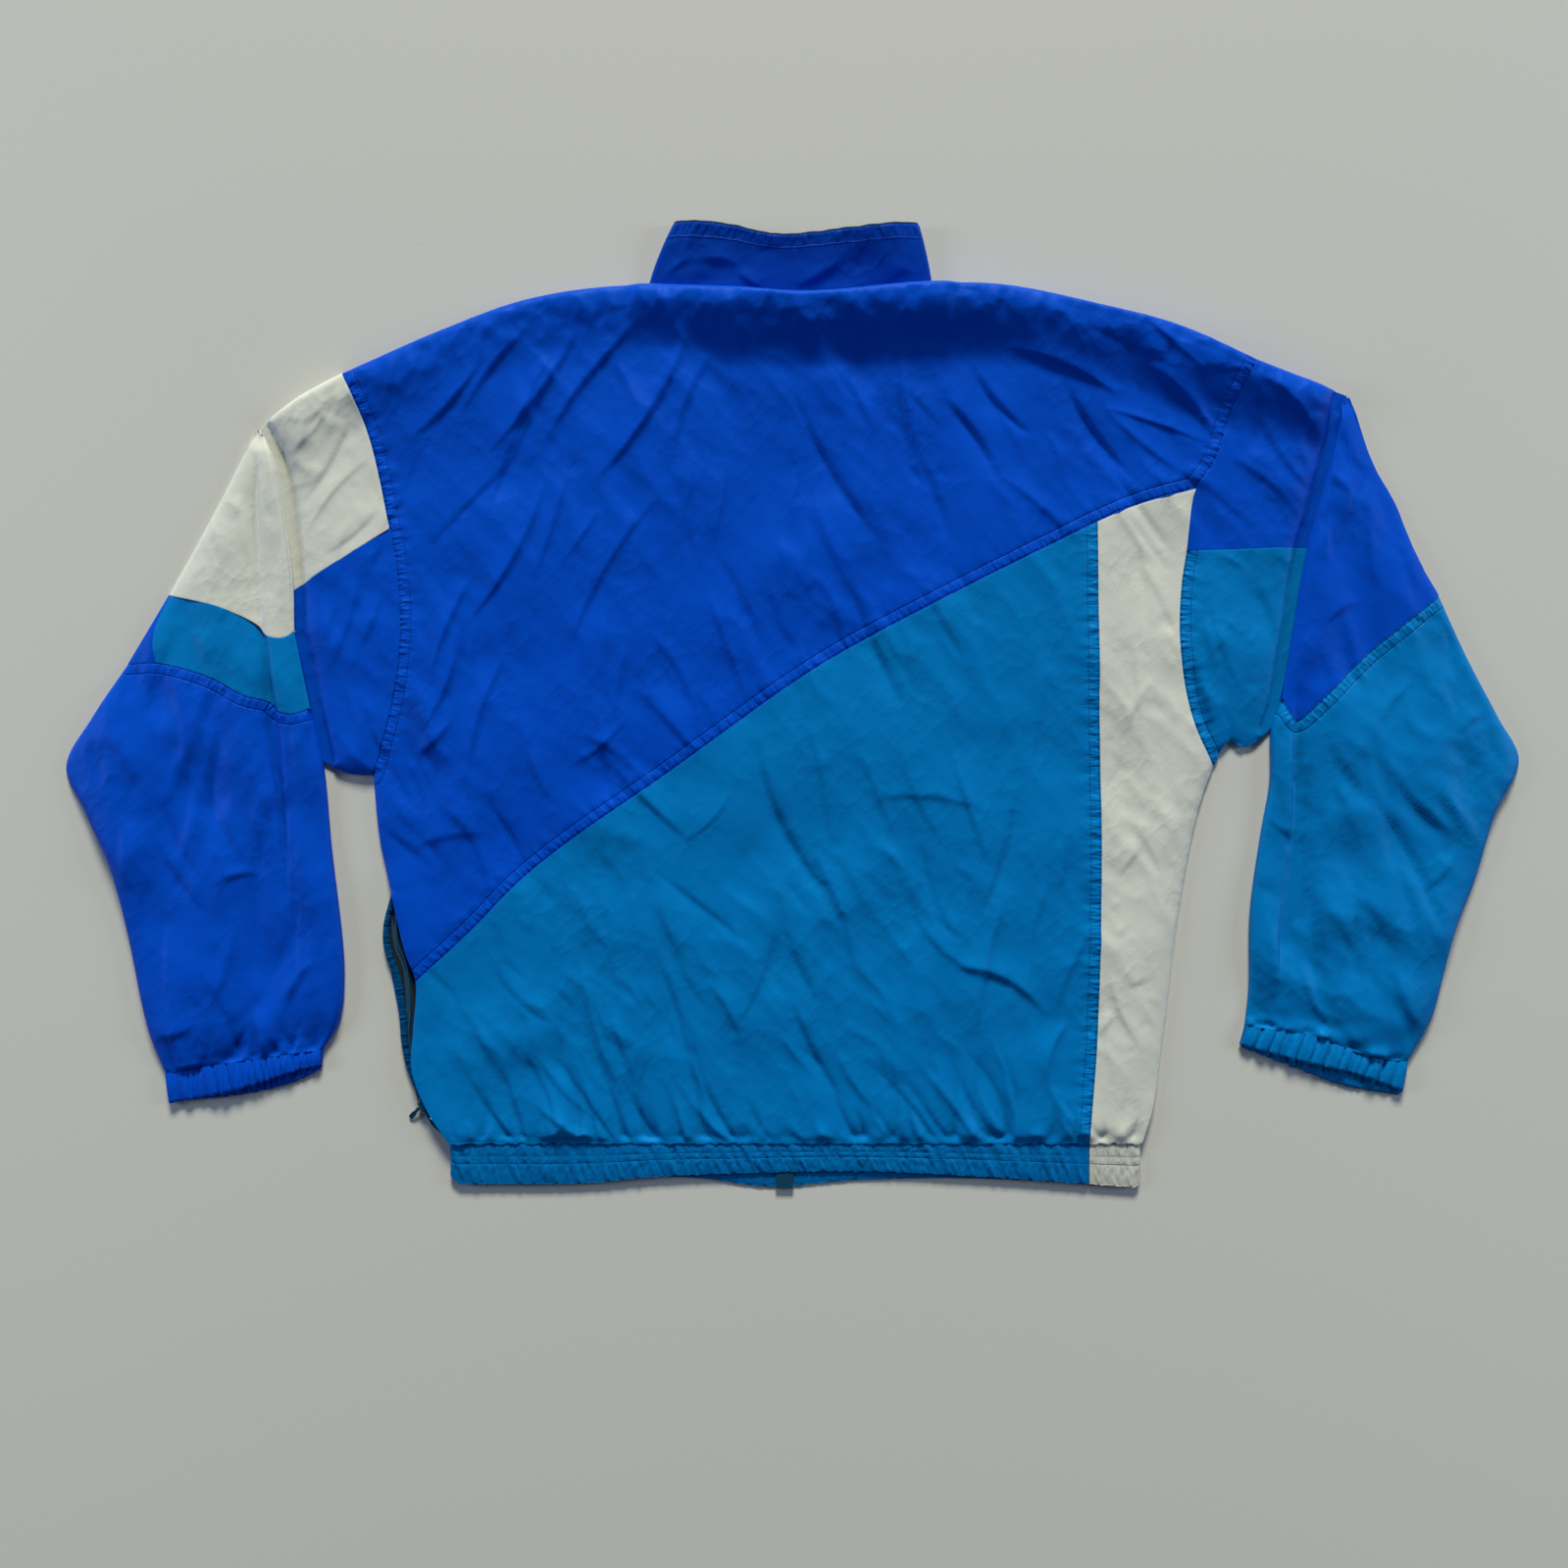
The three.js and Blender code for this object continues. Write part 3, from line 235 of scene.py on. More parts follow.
# Folds and creases
# A crease runs from x0, y0 to x1, y1, bows sideways by bow, and is a ridge (or, below zero, a valley) of the
# given width and height, steep on one side and gentle on the other.
# Columns: x0, y0, x1, y1, bow, width, height. An eighth, 1, marks a crease that is highest at its start.
backCreases = [
    (-77, 286, -150, 170, 8, 7, 3.2), (-110, 296, -190, 195, -6, 6, 2.6),
    (-160, 290, -232, 190, 6, 6, 2.8), (-135, 262, -118, 215, 4, 5, 2.0),
    (-196, 288, -252, 215, -5, 5, 2.2), (-230, 268, -292, 200, 5, 6, 2.4),
    (-60, 270, -92, 180, -6, 6, 2.0), (-185, 180, -250, 60, 10, 9, 2.6),
    (-100, 160, -170, 40, -8, 8, 2.0), (-3, 248, 71, 119, -6, 5, -2.6), (30, 262, 62, 205, 4, 5, 1.8),
    (112, 234, 156, 171, 5, 5, -3.0), (135, 258, 183, 204, -5, 5, -2.8),
    (204, 248, 259, 171, -4, 6, -3.0), (160, 272, 250, 232, 6, 8, 2.8),
    (85, 205, 120, 120, 5, 6, -1.8), (190, 210, 205, 170, 3, 4, 1.6), (260, 262, 318, 205, 5, 7, 2.4),
    (-60, 120, -20, 30, 5, 7, -1.6), (-110, 60, -70, -12, 6, 6, 1.6), (15, 165, 55, 75, -5, 6, 1.5),
    (-250, 60, -280, -20, 5, 8, 2.4), (-215, 40, -245, -60, -7, 8, 2.0),
    (-285, 20, -268, -60, 4, 6, 1.8), (-160, -20, -118, -48, 4, 5, 1.6),
    (-170, -45, -125, -8, -4, 4, 1.4), (-146, -34, -138, -72, 3, 4, -1.6),
    (-286, -38, -256, -8, -3, 5, 1.8), (-289, -108, -223, -97, 6, 8, 1.3),
    (-270, -70, -235, -112, 5, 5, 1.6), (-81, -101, -47, -64, -4, 7, 1.1),
    (-28, -19, 43, -157, -14, 8, -3.0), (10, -10, 30, -120, 6, 9, 1.6),
    (168, -59, 143, -157, 6, 7, -2.6), (120, -196, 194, -236, 12, 8, 2.8),
    (90, -150, 150, -205, -8, 8, 1.8), (-2, -217, 43, -302, -5, 7, -2.6),
    (33, -259, 77, -315, -5, 6, 2.4), (210, -236, 197, -297, -9, 6, 2.6),
    (-190, -263, -131, -319, -8, 7, 2.4), (-159, -189, -113, -314, -9, 9, 2.6),
    (-65, -205, -37, -256, 4, 7, 1.8), (-230, -190, -180, -240, -7, 10, -1.8),
    (-100, -130, -60, -230, -8, 10, 1.6), (80, -20, 120, -110, -6, 10, 1.4),
    (60, -70, 150, -80, 8, 9, 1.3), (-10, -160, -40, -240, 6, 9, -1.6), (190, 60, 175, -60, 5, 9, 1.4),
    (-250, -225, -215, -300, 5, 8, 1.8), (150, -250, 165, -312, 4, 6, 2.0),
    (110, -262, 120, -318, -3, 5, 1.8), (-80, -262, -62, -320, 4, 6, 2.0),
    (0, -285, 8, -322, 2, 5, 1.6), (-220, -285, -205, -322, 3, 5, 1.8), (254, 60, 262, -40, 4, 7, 1.6),
    (272, 20, 252, -20, -3, 5, 1.4), (248, -80, 280, -130, 5, 8, 1.6),
    (240, -200, 268, -262, -5, 7, 1.8), (262, 110, 285, 60, 4, 6, 1.2),
    (250, -260, 246, -315, 3, 5, 1.6),
]
armCreases = [
    (-404, 205, -400, 40, -1, 5, -7.5), (-393, 190, -387, 60, 1, 7, 2.0),
    (-402, 80, -380, -160, 3, 4.6, -9.0), (-429, 0, -466, -140, 5, 10, -3.0),
    (-378, -60, -374, -226, 2, 7, -2.4), (-384, 60, -370, -80, 2, 8, 2.2),
    (-446, -56, -462, -136, 6, 9, 2.4), (-386, -51, -405, -211, -10, 9, -2.2),
    (-507, -80, -507, -140, 5, 9, 2.2), (-436, -136, -399, -126, 5, 5, 1.6),
    (-484, -249, -448, -237, -4, 5, 1.6), (-440, 20, -470, -60, 5, 10, 1.8),
    (-420, -150, -440, -230, 6, 8, 1.8), (-372, -100, -366, -220, 6, 8, 2.0),
    (-470, -160, -462, -240, -5, 8, 1.8), (-520, -20, -490, -70, 6, 9, 1.6),
    (-360, -190, -385, -238, -5, 6, 2.2), (-445, 150, -430, 100, 4, 8, 1.4),
    (-420, 160, -412, 100, 2, 7, 1.6), (-452, 60, -440, 30, 2, 6, 1.0),
    (421, -49, 494, -183, 10, 9, -2.6), (439, -25, 499, -96, -6, 7, 2.2),
    (503, -20, 524, -4, 3, 6, 1.6), (385, -190, 413, -245, -7, 6, 2.4),
    (378, -98, 397, -247, 9, 7, -2.8), (382, 14, 379, -135, -1, 4.4, -8.5),
    (379, -85, 366, -205, 2, 6, -6.5), (368, -150, 366, -228, 2, 6, -2.4),
    (391, -15, 386, -185, -2, 5, -3.0), (400, -18, 440, -78, -4, 8, -2.0),
    (453, -190, 477, -247, -5, 7, 2.4), (455, -120, 470, -190, 5, 8, -1.8),
    (437, 180, 440, 90, -4, 8, 2.0), (420, 200, 412, 120, 3, 8, 1.8), (455, 130, 470, 90, 3, 6, 1.4),
    (400, 60, 430, 80, 4, 6, 1.4), (420, -130, 410, -210, 5, 8, 1.8),
    (500, -110, 470, -140, 4, 7, 1.6), (355, -150, 362, -225, 3, 6, 1.6),
    (440, -20, 470, 20, 5, 8, 1.4),
]
underCreases = [
    (-384, 198, -369, 100, 2, 9, -2.6), (-330, 225, -372, 150, 5, 7, -2.0),
    (-318, 190, -368, 128, -5, 6, 1.8), (-345, 235, -380, 190, 4, 6, 1.6),
    (-310, 150, -355, 112, 3, 5, -1.6), (-325, 110, -355, 20, 5, 8, 1.6),
    (-340, 20, -325, -40, 4, 7, 1.6), (-310, 90, -330, 40, 3, 6, 1.4), (345, 250, 398, 200, 6, 9, 2.6),
    (352, 225, 395, 160, -5, 7, 2.0), (330, 190, 385, 140, 5, 7, 1.8), (345, 100, 365, 40, 4, 8, -2.0),
    (315, 90, 340, 10, -4, 8, 1.6), (372, 110, 362, 20, 3, 7, 1.4),
]
clothForm = {
    "puff": 5.2, "sleevePuff": 6.8, "edgeRadius": 24, "topRadius": 9,
    "rollHeight": 5.5, "rollMore": 10.0, "rollPeak": 5, "rollReach": 46,  # the shoulders roll over the neck seam
    "blouseHeight": 1.2, "blousePeak": 9,  # the back blouses over the hem band
    "hemLift": 3.1, "neckLift": 5.2, "pocketLift": 2.6,
    "neckHalf": 112, "neckY": 307, "neckDrop": 52,
}


creaseForm = {"height": 1.25, "soft": 1.3, "steep": 0.2}


def creaseHeight(table, x, y):
    # Sum over the creases of height * taper(u) * profile(d). u runs along the chord and d is the distance from
    # the bowed line; height and width fade at the ends. The profile is exp(-|d| / width) with a rounded top,
    # and steeper on the side towards the hem, as the cloth slides down over itself.
    total = np.zeros(x.size)
    px, py = x.ravel(), y.ravel()
    for x0, y0, x1, y1, bow, width, height, *rooted in table:
        reach = 10 * width + abs(bow) + 4
        near = np.nonzero((px > min(x0, x1) - reach) & (px < max(x0, x1) + reach)
                          & (py > min(y0, y1) - reach) & (py < max(y0, y1) + reach))[0]
        dx, dy = x1 - x0, y1 - y0
        size = math.hypot(dx, dy)
        qx, qy = px[near] - x0, py[near] - y0
        u = (qx * dx + qy * dy) / size**2
        inside = np.clip(u, 0, 1)
        facing = math.copysign(1, dx) * math.copysign(1, height)
        d = facing * ((qy * dx - qx * dy) / size - 4 * bow * inside * (1 - inside))
        ends = 1 - inside if rooted else np.sin(np.pi * inside)
        beyond = (u - inside) * size
        taper = ends**1.15 * np.exp(-((beyond / (1.2 * width)) ** 2))
        w = width * (0.4 + 0.8 * ends)
        w = np.where(d > 0, creaseForm["soft"] * w, np.maximum(creaseForm["steep"] * w, 1.5))
        total[near] += creaseForm["height"] * height * taper * np.exp(0.4 - np.sqrt((d / w) ** 2 + 0.16))
    return total.reshape(x.shape)


def scattered(seed, count, box, lean, spread, length, width, height):
    # Creases at random places in a box; lean(x, y) is their angle from straight down, in degrees, and each
    # range is (lowest, highest). Most are short and low, a few long and high.
    pick = np.random.default_rng(seed)
    x = pick.uniform(box[0], box[2], count)
    y = pick.uniform(box[1], box[3], count)
    rare = pick.uniform(0, 1, count) ** 2.2
    angle = np.radians(lean(x, y) + spread * pick.normal(0, 1, count))
    size = length[0] + (length[1] - length[0]) * rare
    sign = np.where(pick.uniform(0, 1, count) < 0.5, -1, 1)
    high = sign * (height[0] + (height[1] - height[0]) * rare * pick.uniform(0.5, 1, count))
    wide = width[0] + (width[1] - width[0]) * rare
    bow = pick.normal(0, 0.035, count) * size
    flip = pick.uniform(0, 1, count) < 0.5
    dx, dy = np.sin(angle) * size, -np.cos(angle) * size
    start = np.stack([x - dx / 2, y - dy / 2, x + dx / 2, y + dy / 2], axis=1)
    start[flip] = start[flip][:, [2, 3, 0, 1]]
    return np.column_stack([start, bow, wide, high])


def backLean(x, y):
    # Folds fan out below the neck; lower down they run to the lower right, and beside the white panel down.
    fan = np.clip((x + 50) * 0.15, -42, 42)
    low = np.where(x < 120, 30.0, -8.0)
    share = smooth((y + 60) / 180)
    return fan * share + low * (1 - share)


def softNoise(x, y, size, seed):
    # Gradient noise: smooth hills about size mm across, from -1 to 1.
    turn = np.random.default_rng(seed).uniform(0, 2 * np.pi, (64, 64))
    gx, gy = np.cos(turn), np.sin(turn)
    px, py = x / size + 100, y / size + 100
    ix, iy = np.floor(px).astype(int), np.floor(py).astype(int)
    fx, fy = px - ix, py - iy

    def corner(i, j):
        a, b = (ix + i) % 64, (iy + j) % 64
        return gx[a, b] * (fx - i) + gy[a, b] * (fy - j)

    sx, sy = (f**3 * (f * (f * 6 - 15) + 10) for f in (fx, fy))
    low = corner(0, 0) * (1 - sx) + corner(1, 0) * sx
    high = corner(0, 1) * (1 - sx) + corner(1, 1) * sx
    return 1.6 * (low * (1 - sy) + high * sy)


def facets(x, y, size, seed, turn=0.0, stretch=1.0):
    # Squared distance to the nearest of jittered points, in cells size mm across and stretched along a
    # direction of turn degrees: bowls that meet in straight sharp ridges, from 0 to about 0.7.
    points = np.random.default_rng(seed).uniform(0.05, 0.95, (64, 64, 2))
    a = math.radians(turn)
    px = (x * math.cos(a) + y * math.sin(a)) / (size * stretch) + 100
    py = (y * math.cos(a) - x * math.sin(a)) / size + 100
    ix, iy = np.floor(px).astype(int), np.floor(py).astype(int)
    best = np.full(x.shape, 9.0)
    for i in (-1, 0, 1):
        for j in (-1, 0, 1):
            at = points[(ix + i) % 64, (iy + j) % 64]
            best = np.minimum(best, (ix + i + at[..., 0] - px) ** 2 + (iy + j + at[..., 1] - py) ** 2)
    return best


crumple = {  # sizes of the swells and facets and their heights, in mm, and the facets' direction in degrees
    "swell": 70, "swellHeight": 2.6, "wide": 27, "wideHeight": 2.6, "fine": 13, "fineHeight": 0.8,
    "stretch": 3.2, "warp": 4, "turn": -58,
}


def crumpleHeight(x, y, seed, turn=None):
    # Crumpled nylon: soft swells, and facets in two sizes that meet in sharp ridges and valleys.
    c = crumple
    turn = c["turn"] if turn is None else turn
    wx = x + c["warp"] * softNoise(x, y, 25, seed + 1)
    wy = y + c["warp"] * softNoise(x, y, 25, seed + 2)
    patchy = 0.35 + 1.1 * smooth(0.5 + 0.9 * softNoise(x, y, 110, seed + 3))
    total = c["swellHeight"] * softNoise(wx, wy, c["swell"], seed + 5)
    for k, name in enumerate(("wide", "fine")):
        ridges = facets(wx, wy, c[name], seed + 10 + k, turn + 12 * k, c["stretch"])
        valleys = facets(wx, wy, 1.25 * c[name], seed + 20 + k, turn - 25, c["stretch"])
        total += c[name + "Height"] * (ridges - 0.8 * valleys) * patchy
    return total


def gatherCreases(seed, line, count, lean, length, width, height):
    # Creases rooted at a gathered seam: they start on the line and run away from it to its left side.
    pick = np.random.default_rng(seed)
    at = line[np.sort(pick.integers(0, len(line) - 1, count))]
    rare = pick.uniform(0, 1, count) ** 1.8
    angle = np.radians(lean + 13 * pick.normal(0, 1, count))
    size = length[0] + (length[1] - length[0]) * rare
    sign = np.where(pick.uniform(0, 1, count) < 0.6, -1, 1)
    high = sign * (height[0] + (height[1] - height[0]) * rare)
    along = (line[-1] - line[0]) / math.dist(line[0], line[-1])
    away = np.array([-along[1], along[0]])
    step = (np.sin(angle)[:, None] * along + np.cos(angle)[:, None] * away) * size[:, None]
    wide = width[0] + (width[1] - width[0]) * rare
    bow = pick.normal(0, 0.08, count) * size
    return np.column_stack([at, at + step, bow, wide, high, np.ones(count)])


hemLine = evenly([(-255, hemY), (222, hemY)], 400)
sideHemLine = evenly([(228, hemY), (262, hemY)], 60)
cuffLines = [evenly(cut["cuffSeam"], 120) for cut in both]
tables = {
    "back": backCreases + underCreases,
    "backSmall": scattered(301, 190, (-320, -310, 340, 290), backLean, 13, (14, 110), (2.4, 5.5), (0.4, 2.6)),
    "backHem": gatherCreases(302, hemLine, 90, -20, (10, 95), (2.2, 4.6), (1.2, 3.2)),
    "sideHem": gatherCreases(303, sideHemLine, 9, 0, (10, 34), (2.4, 4), (1.0, 2.4)),
    "sideBits": scattered(304, 26, (228, -320, 300, 120), lambda x, y: 12 + 0 * x, 38, (8, 40), (2.6, 6),
                          (0.4, 1.9)),
    "arm": armCreases,
    "armLeftSmall": scattered(305, 80, (-540, -265, -350, 30), lambda x, y: 4 + 0 * x, 15, (16, 80), (2.6, 7),
                              (0.4, 2.0)),
    "armRightSmall": scattered(306, 90, (345, -260, 540, 60), lambda x, y: 22 + 0 * x, 14, (16, 70), (2.6, 7),
                               (0.4, 2.0)),
    "armCuffLeft": gatherCreases(307, cuffLines[0], 34, 4, (12, 46), (2.4, 4.6), (1.3, 3.2)),
    "armCuffRight": gatherCreases(308, cuffLines[1][::-1], 34, -176, (12, 46), (2.4, 4.6), (1.3, 3.2)),
    "capSmall": scattered(309, 60, (-470, 60, -310, 250), lambda x, y: -12 + 0 * x, 26, (8, 36), (2.4, 5),
                          (0.3, 1.5)),
    "capRightSmall": scattered(310, 60, (300, -20, 490, 250), lambda x, y: 14 + 0 * x, 28, (8, 40), (2.4, 5.5),
                               (0.3, 1.7)),
}


def creases(names, x, y):
    return sum(creaseHeight(tables[name], x, y) for name in names)


def backHeight(x, y):
    # The CAD's height of the back and upper arms: puff and shoulder roll, rounded down to every free edge.
    f = clothForm
    fromTop = lineDistance(rims["top"], x, y)[0]
    fromPocket = lineDistance(rims["pocket"], x, y)[0]
    fromSide = np.minimum(nearest(rims["sides"], x, y), fromPocket + 3)
    fromPleat = np.maximum(0, nearest(rims["pleats"], x, y) - 8)
    fromHem = np.maximum(0, y - hemY)
    rim = rounded(np.minimum(fromSide, fromPleat), f["edgeRadius"])
    neck = f["neckLift"] * smooth((f["neckHalf"] + 16 - np.abs(x)) / 16) * smooth((y - 270) / 40)
    mouth = f["pocketLift"] * smooth(1 - fromPocket / 26)
    right = smooth((x + 108) / 85) * (1 - 0.45 * smooth((x - 330) / 60))
    level = f["rollHeight"] + f["rollMore"] * right
    reach = f["rollReach"] * (1 + 0.10 * softNoise(x, 0 * y, 30, 451)) * (0.8 + 0.2 * right)
    roll = level * rounded(fromTop, f["rollPeak"]) * (1 - smooth((fromTop - 12) / reach)) * rim
    blouse = f["blouseHeight"] * hump(fromHem, f["blousePeak"]) * rim
    inside = rounded(fromTop, f["topRadius"]) * rim * smooth(0.12 + fromHem / 90)
    lift = f["hemLift"] * smooth(1 - fromHem / 60)
    return layers["back"] + neck + mouth + roll + blouse + f["puff"] * inside + lift, inside


def backSurface(x, y, amount=1.0):
    # The back's height with amount times its creases, a pinched strip along the roll and the hem's gathers.
    base, inside = backHeight(x, y)
    fromHem = np.maximum(0, y - hemY)
    fromTop = lineDistance(rims["top"], x, y)[0]
    rim = np.clip(inside, 0, 1)
    detail = creases(("back", "backSmall", "sideBits", "capSmall", "capRightSmall"), x, y) * smooth(fromHem / 26)
    detail += crumpleHeight(x, y, 11)
    detail *= amount
    pinched = 2.0 * (facets(x, y, 10, 457, 80, 1.7) - 0.3) + 1.6 * (0.3 - facets(x, y, 16, 458, 60, 1.5))
    detail *= rim * smooth(fromTop / 16)
    detail += pinched * smooth(fromTop / 5) * smooth((44 - fromTop) / 24)
    scallop = (2.0 * softNoise(x, 0 * y, 15, 401) + 0.8 * softNoise(x, 0 * y, 7, 402)) * np.exp(
        -((fromHem - 4) / 8) ** 2)
    bunched = creases(("backHem", "sideHem"), x, y) + scallop
    bunched = np.minimum(bunched, 1.2 + 5 * smooth(fromHem / 16))
    detail += bunched * smooth((fromHem + 0.8) / 6) * smooth((x + 262) / 18) * smooth((268 - x) / 10)
    return np.maximum(base + detail, layers["back"])


def armSurface(x, y, amount=1.0):
    # The CAD's height of a lower arm, with its creases and the gathers that the cuff draws in.
    f = clothForm
    rim = rounded(nearest(rims["outers"], x, y), f["edgeRadius"])
    fromPleat = nearest(rims["pleats"], x, y)
    beside = (layers["foldTop"] - layers["back"]) * smooth(1 - fromPleat / 34)
    inner = rounded(nearest(rims["inners"], x, y) + 3, f["edgeRadius"])
    fromCuff = nearest(rims["cuffs"], x, y)
    detail = creases(("arm", "armLeftSmall", "armRightSmall", "capSmall", "capRightSmall"), x, y)
    crumpled = np.where(x < 0, crumpleHeight(x, y, 71, -86), crumpleHeight(x, y, 72, -50))
    crumpled += 3.2 * softNoise(x + 0.25 * y, 0.42 * y, 36, 77)
    detail = amount * (detail + crumpled) * smooth(fromCuff / 12)
    gathers = creases(("armCuffLeft", "armCuffRight"), x, y) * smooth(fromCuff / 2.5)
    tip = smooth(np.minimum(np.hypot(x + 404, y - 214), np.hypot(x - 419, y - 238)) / 34)
    puff = f["sleevePuff"] * (0.45 + 0.55 * smooth(fromCuff / 36))
    body = (puff + detail * tip + gathers) * rim * inner
    return layers["back"] + np.maximum(beside * np.maximum(rim, 0.55), np.maximum(body, 0))


def addPiece(name, points, faces, material, attributes, replaces=()):
    # The points are in millimetres, before the shift.
    moved = (np.asarray(points, float) + [shift[0], shift[1], 0]) * mm
    mesh = bpy.data.meshes.new(name)
    mesh.from_pydata(moved.tolist(), [], faces if isinstance(faces, list) else faces.tolist())
    for key, values in attributes.items():
        layer = mesh.attributes.new(key, "FLOAT", "POINT")
        layer.data.foreach_set("value", np.asarray(values, np.float32).ravel())
    mesh.materials.append(material)
    mesh.shade_smooth()
    mesh.update()
    piece = bpy.data.objects.new(name, mesh)
    bpy.context.scene.collection.objects.link(piece)
    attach(piece, "jacket")
    if replaces:
        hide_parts(*replaces)
    return piece


def gridFaces(rows, columns, ringColumns=False):
    # Quads of a grid with its points in row order.
    j, i = np.mgrid[0:rows - 1, 0:columns if ringColumns else columns - 1]
    k = (i + 1) % columns
    a, b, c, d = j * columns + i, j * columns + k, (j + 1) * columns + k, (j + 1) * columns + i
    return np.stack([a, b, c, d], axis=-1).reshape(-1, 4)


def facingUp(points, faces):
    # Turns the faces round if most of them look down.
    p = points.reshape(-1, 3)
    across = p[faces[:, 1]] - p[faces[:, 0]]
    up = p[faces[:, 3]] - p[faces[:, 0]]
    return faces[:, ::-1] if np.cross(across, up)[:, 2].sum() < 0 else faces


def turnedDown(grid, height, drop=2.6, tuck=0.9, floor=0.35):
    # Adds three rows and columns round a grid: the cloth turns down and a little under at its rim.
    def ring(xy, z, step, depth):
        inX = np.pad(xy, ((1, 1), (1, 1), (0, 0)), mode="edge")
        inZ = np.pad(z, 1, mode="edge")
        low = np.maximum(inZ - depth, np.minimum(inZ, floor))
        centre = np.zeros_like(inX)
        centre[0, 1:-1] = xy[1] - xy[0]
        centre[-1, 1:-1] = xy[-2] - xy[-1]
        centre[1:-1, 0] = xy[:, 1] - xy[:, 0]
        centre[1:-1, -1] = xy[:, -2] - xy[:, -1]
        size = np.hypot(centre[..., 0], centre[..., 1])[..., None]
        inX = inX + step * centre / np.maximum(size, 1e-6)
        edge = np.zeros(inZ.shape, bool)
        edge[0], edge[-1], edge[:, 0], edge[:, -1] = True, True, True, True
        return inX, np.where(edge, low, inZ)

    xy, z = ring(grid, height, -0.06, 0.02)
    xy, z = ring(xy, z, -0.06, drop * 0.45)
    return ring(xy, z, tuck, drop)


def seamAttributes(xy, seams):
    # How far each point is from the nearest topstitched seam, and how far along that seam.
    x, y = xy[..., 0], xy[..., 1]
    best, run = np.full(x.shape, 60.0), x + 0.7 * y
    for line in seams:
        d, s = lineDistance(line, x, y)
        run = np.where(d < best, s, run)
        best = np.minimum(best, d)
    return {"seamDistance": np.minimum(best, 60.0), "seamRun": run}


def puckers(attributes, seed):
    # The stitching draws the cloth into small waves across the seam, which lies in a groove.
    d, s = attributes["seamDistance"], attributes["seamRun"]
    wave = softNoise(s, d * 0.25, 6.5, seed) + 0.6 * softNoise(s, d * 0.2, 13, seed + 1)
    groove = -0.5 * np.exp(-((d / 1.8) ** 2)) - 0.3 * np.exp(-(((d - 8.5) / 2.0) ** 2))
    return groove + 0.7 * wave * np.exp(-(((d - 7) / 10) ** 2)) * smooth(d / 2)


def clothPanel(name, grid, surface, material, seams, replaces, seed, amount=1.0):
    height = surface(grid[..., 0], grid[..., 1], amount)
    attributes = seamAttributes(grid, seams)
    height = height + puckers(attributes, seed)
    xy, z = turnedDown(grid, height)
    attributes = seamAttributes(xy, seams)
    points = np.dstack([xy, z]).reshape(-1, 3)
    faces = facingUp(points, gridFaces(*z.shape))
    return addPiece(name, points, faces, material, attributes, replaces)


# Materials
def linearColour(text):
    values = [int(text[i:i + 2], 16) / 255 for i in (1, 3, 5)]
    return tuple(v / 12.92 if v <= 0.04045 else ((v + 0.055) / 1.055) ** 2.4 for v in values) + (1.0,)


def addNode(tree, kind, settings=None, links=None):
    # Adds a node; settings are its own properties or socket values. links are the sockets, or the nodes whose
    # first output, that feed its inputs.
    node = tree.nodes.new(kind)
    for key, value in (settings or {}).items():
        if isinstance(key, str) and hasattr(node, key):
            setattr(node, key, value)
        else:
            node.inputs[key].default_value = value
    for key, source in (links or {}).items():
        tree.links.new(source.outputs[0] if hasattr(source, "outputs") else source, node.inputs[key])
    return node


def newMaterial(name):
    material = bpy.data.materials.new(name)
    material.use_nodes = True
    tree = material.node_tree
    tree.nodes.clear()
    return material, tree


stitching = {"halfWidth": 0.9, "length": 3.2, "gap": 0.82, "pucker": 4.2, "reach": 15.0}
weave = {
    # Size in millimetres, turn in degrees and height in millimetres.
    "crinkles": [(11.0, -28, 0.5), (5.5, -44, 0.2), (8.0, 40, 0.2)],
    "stretch": 1.8, "wobble": 9.0, "grain": 2.2, "grainHeight": 0.08, "patch": 60.0,
}


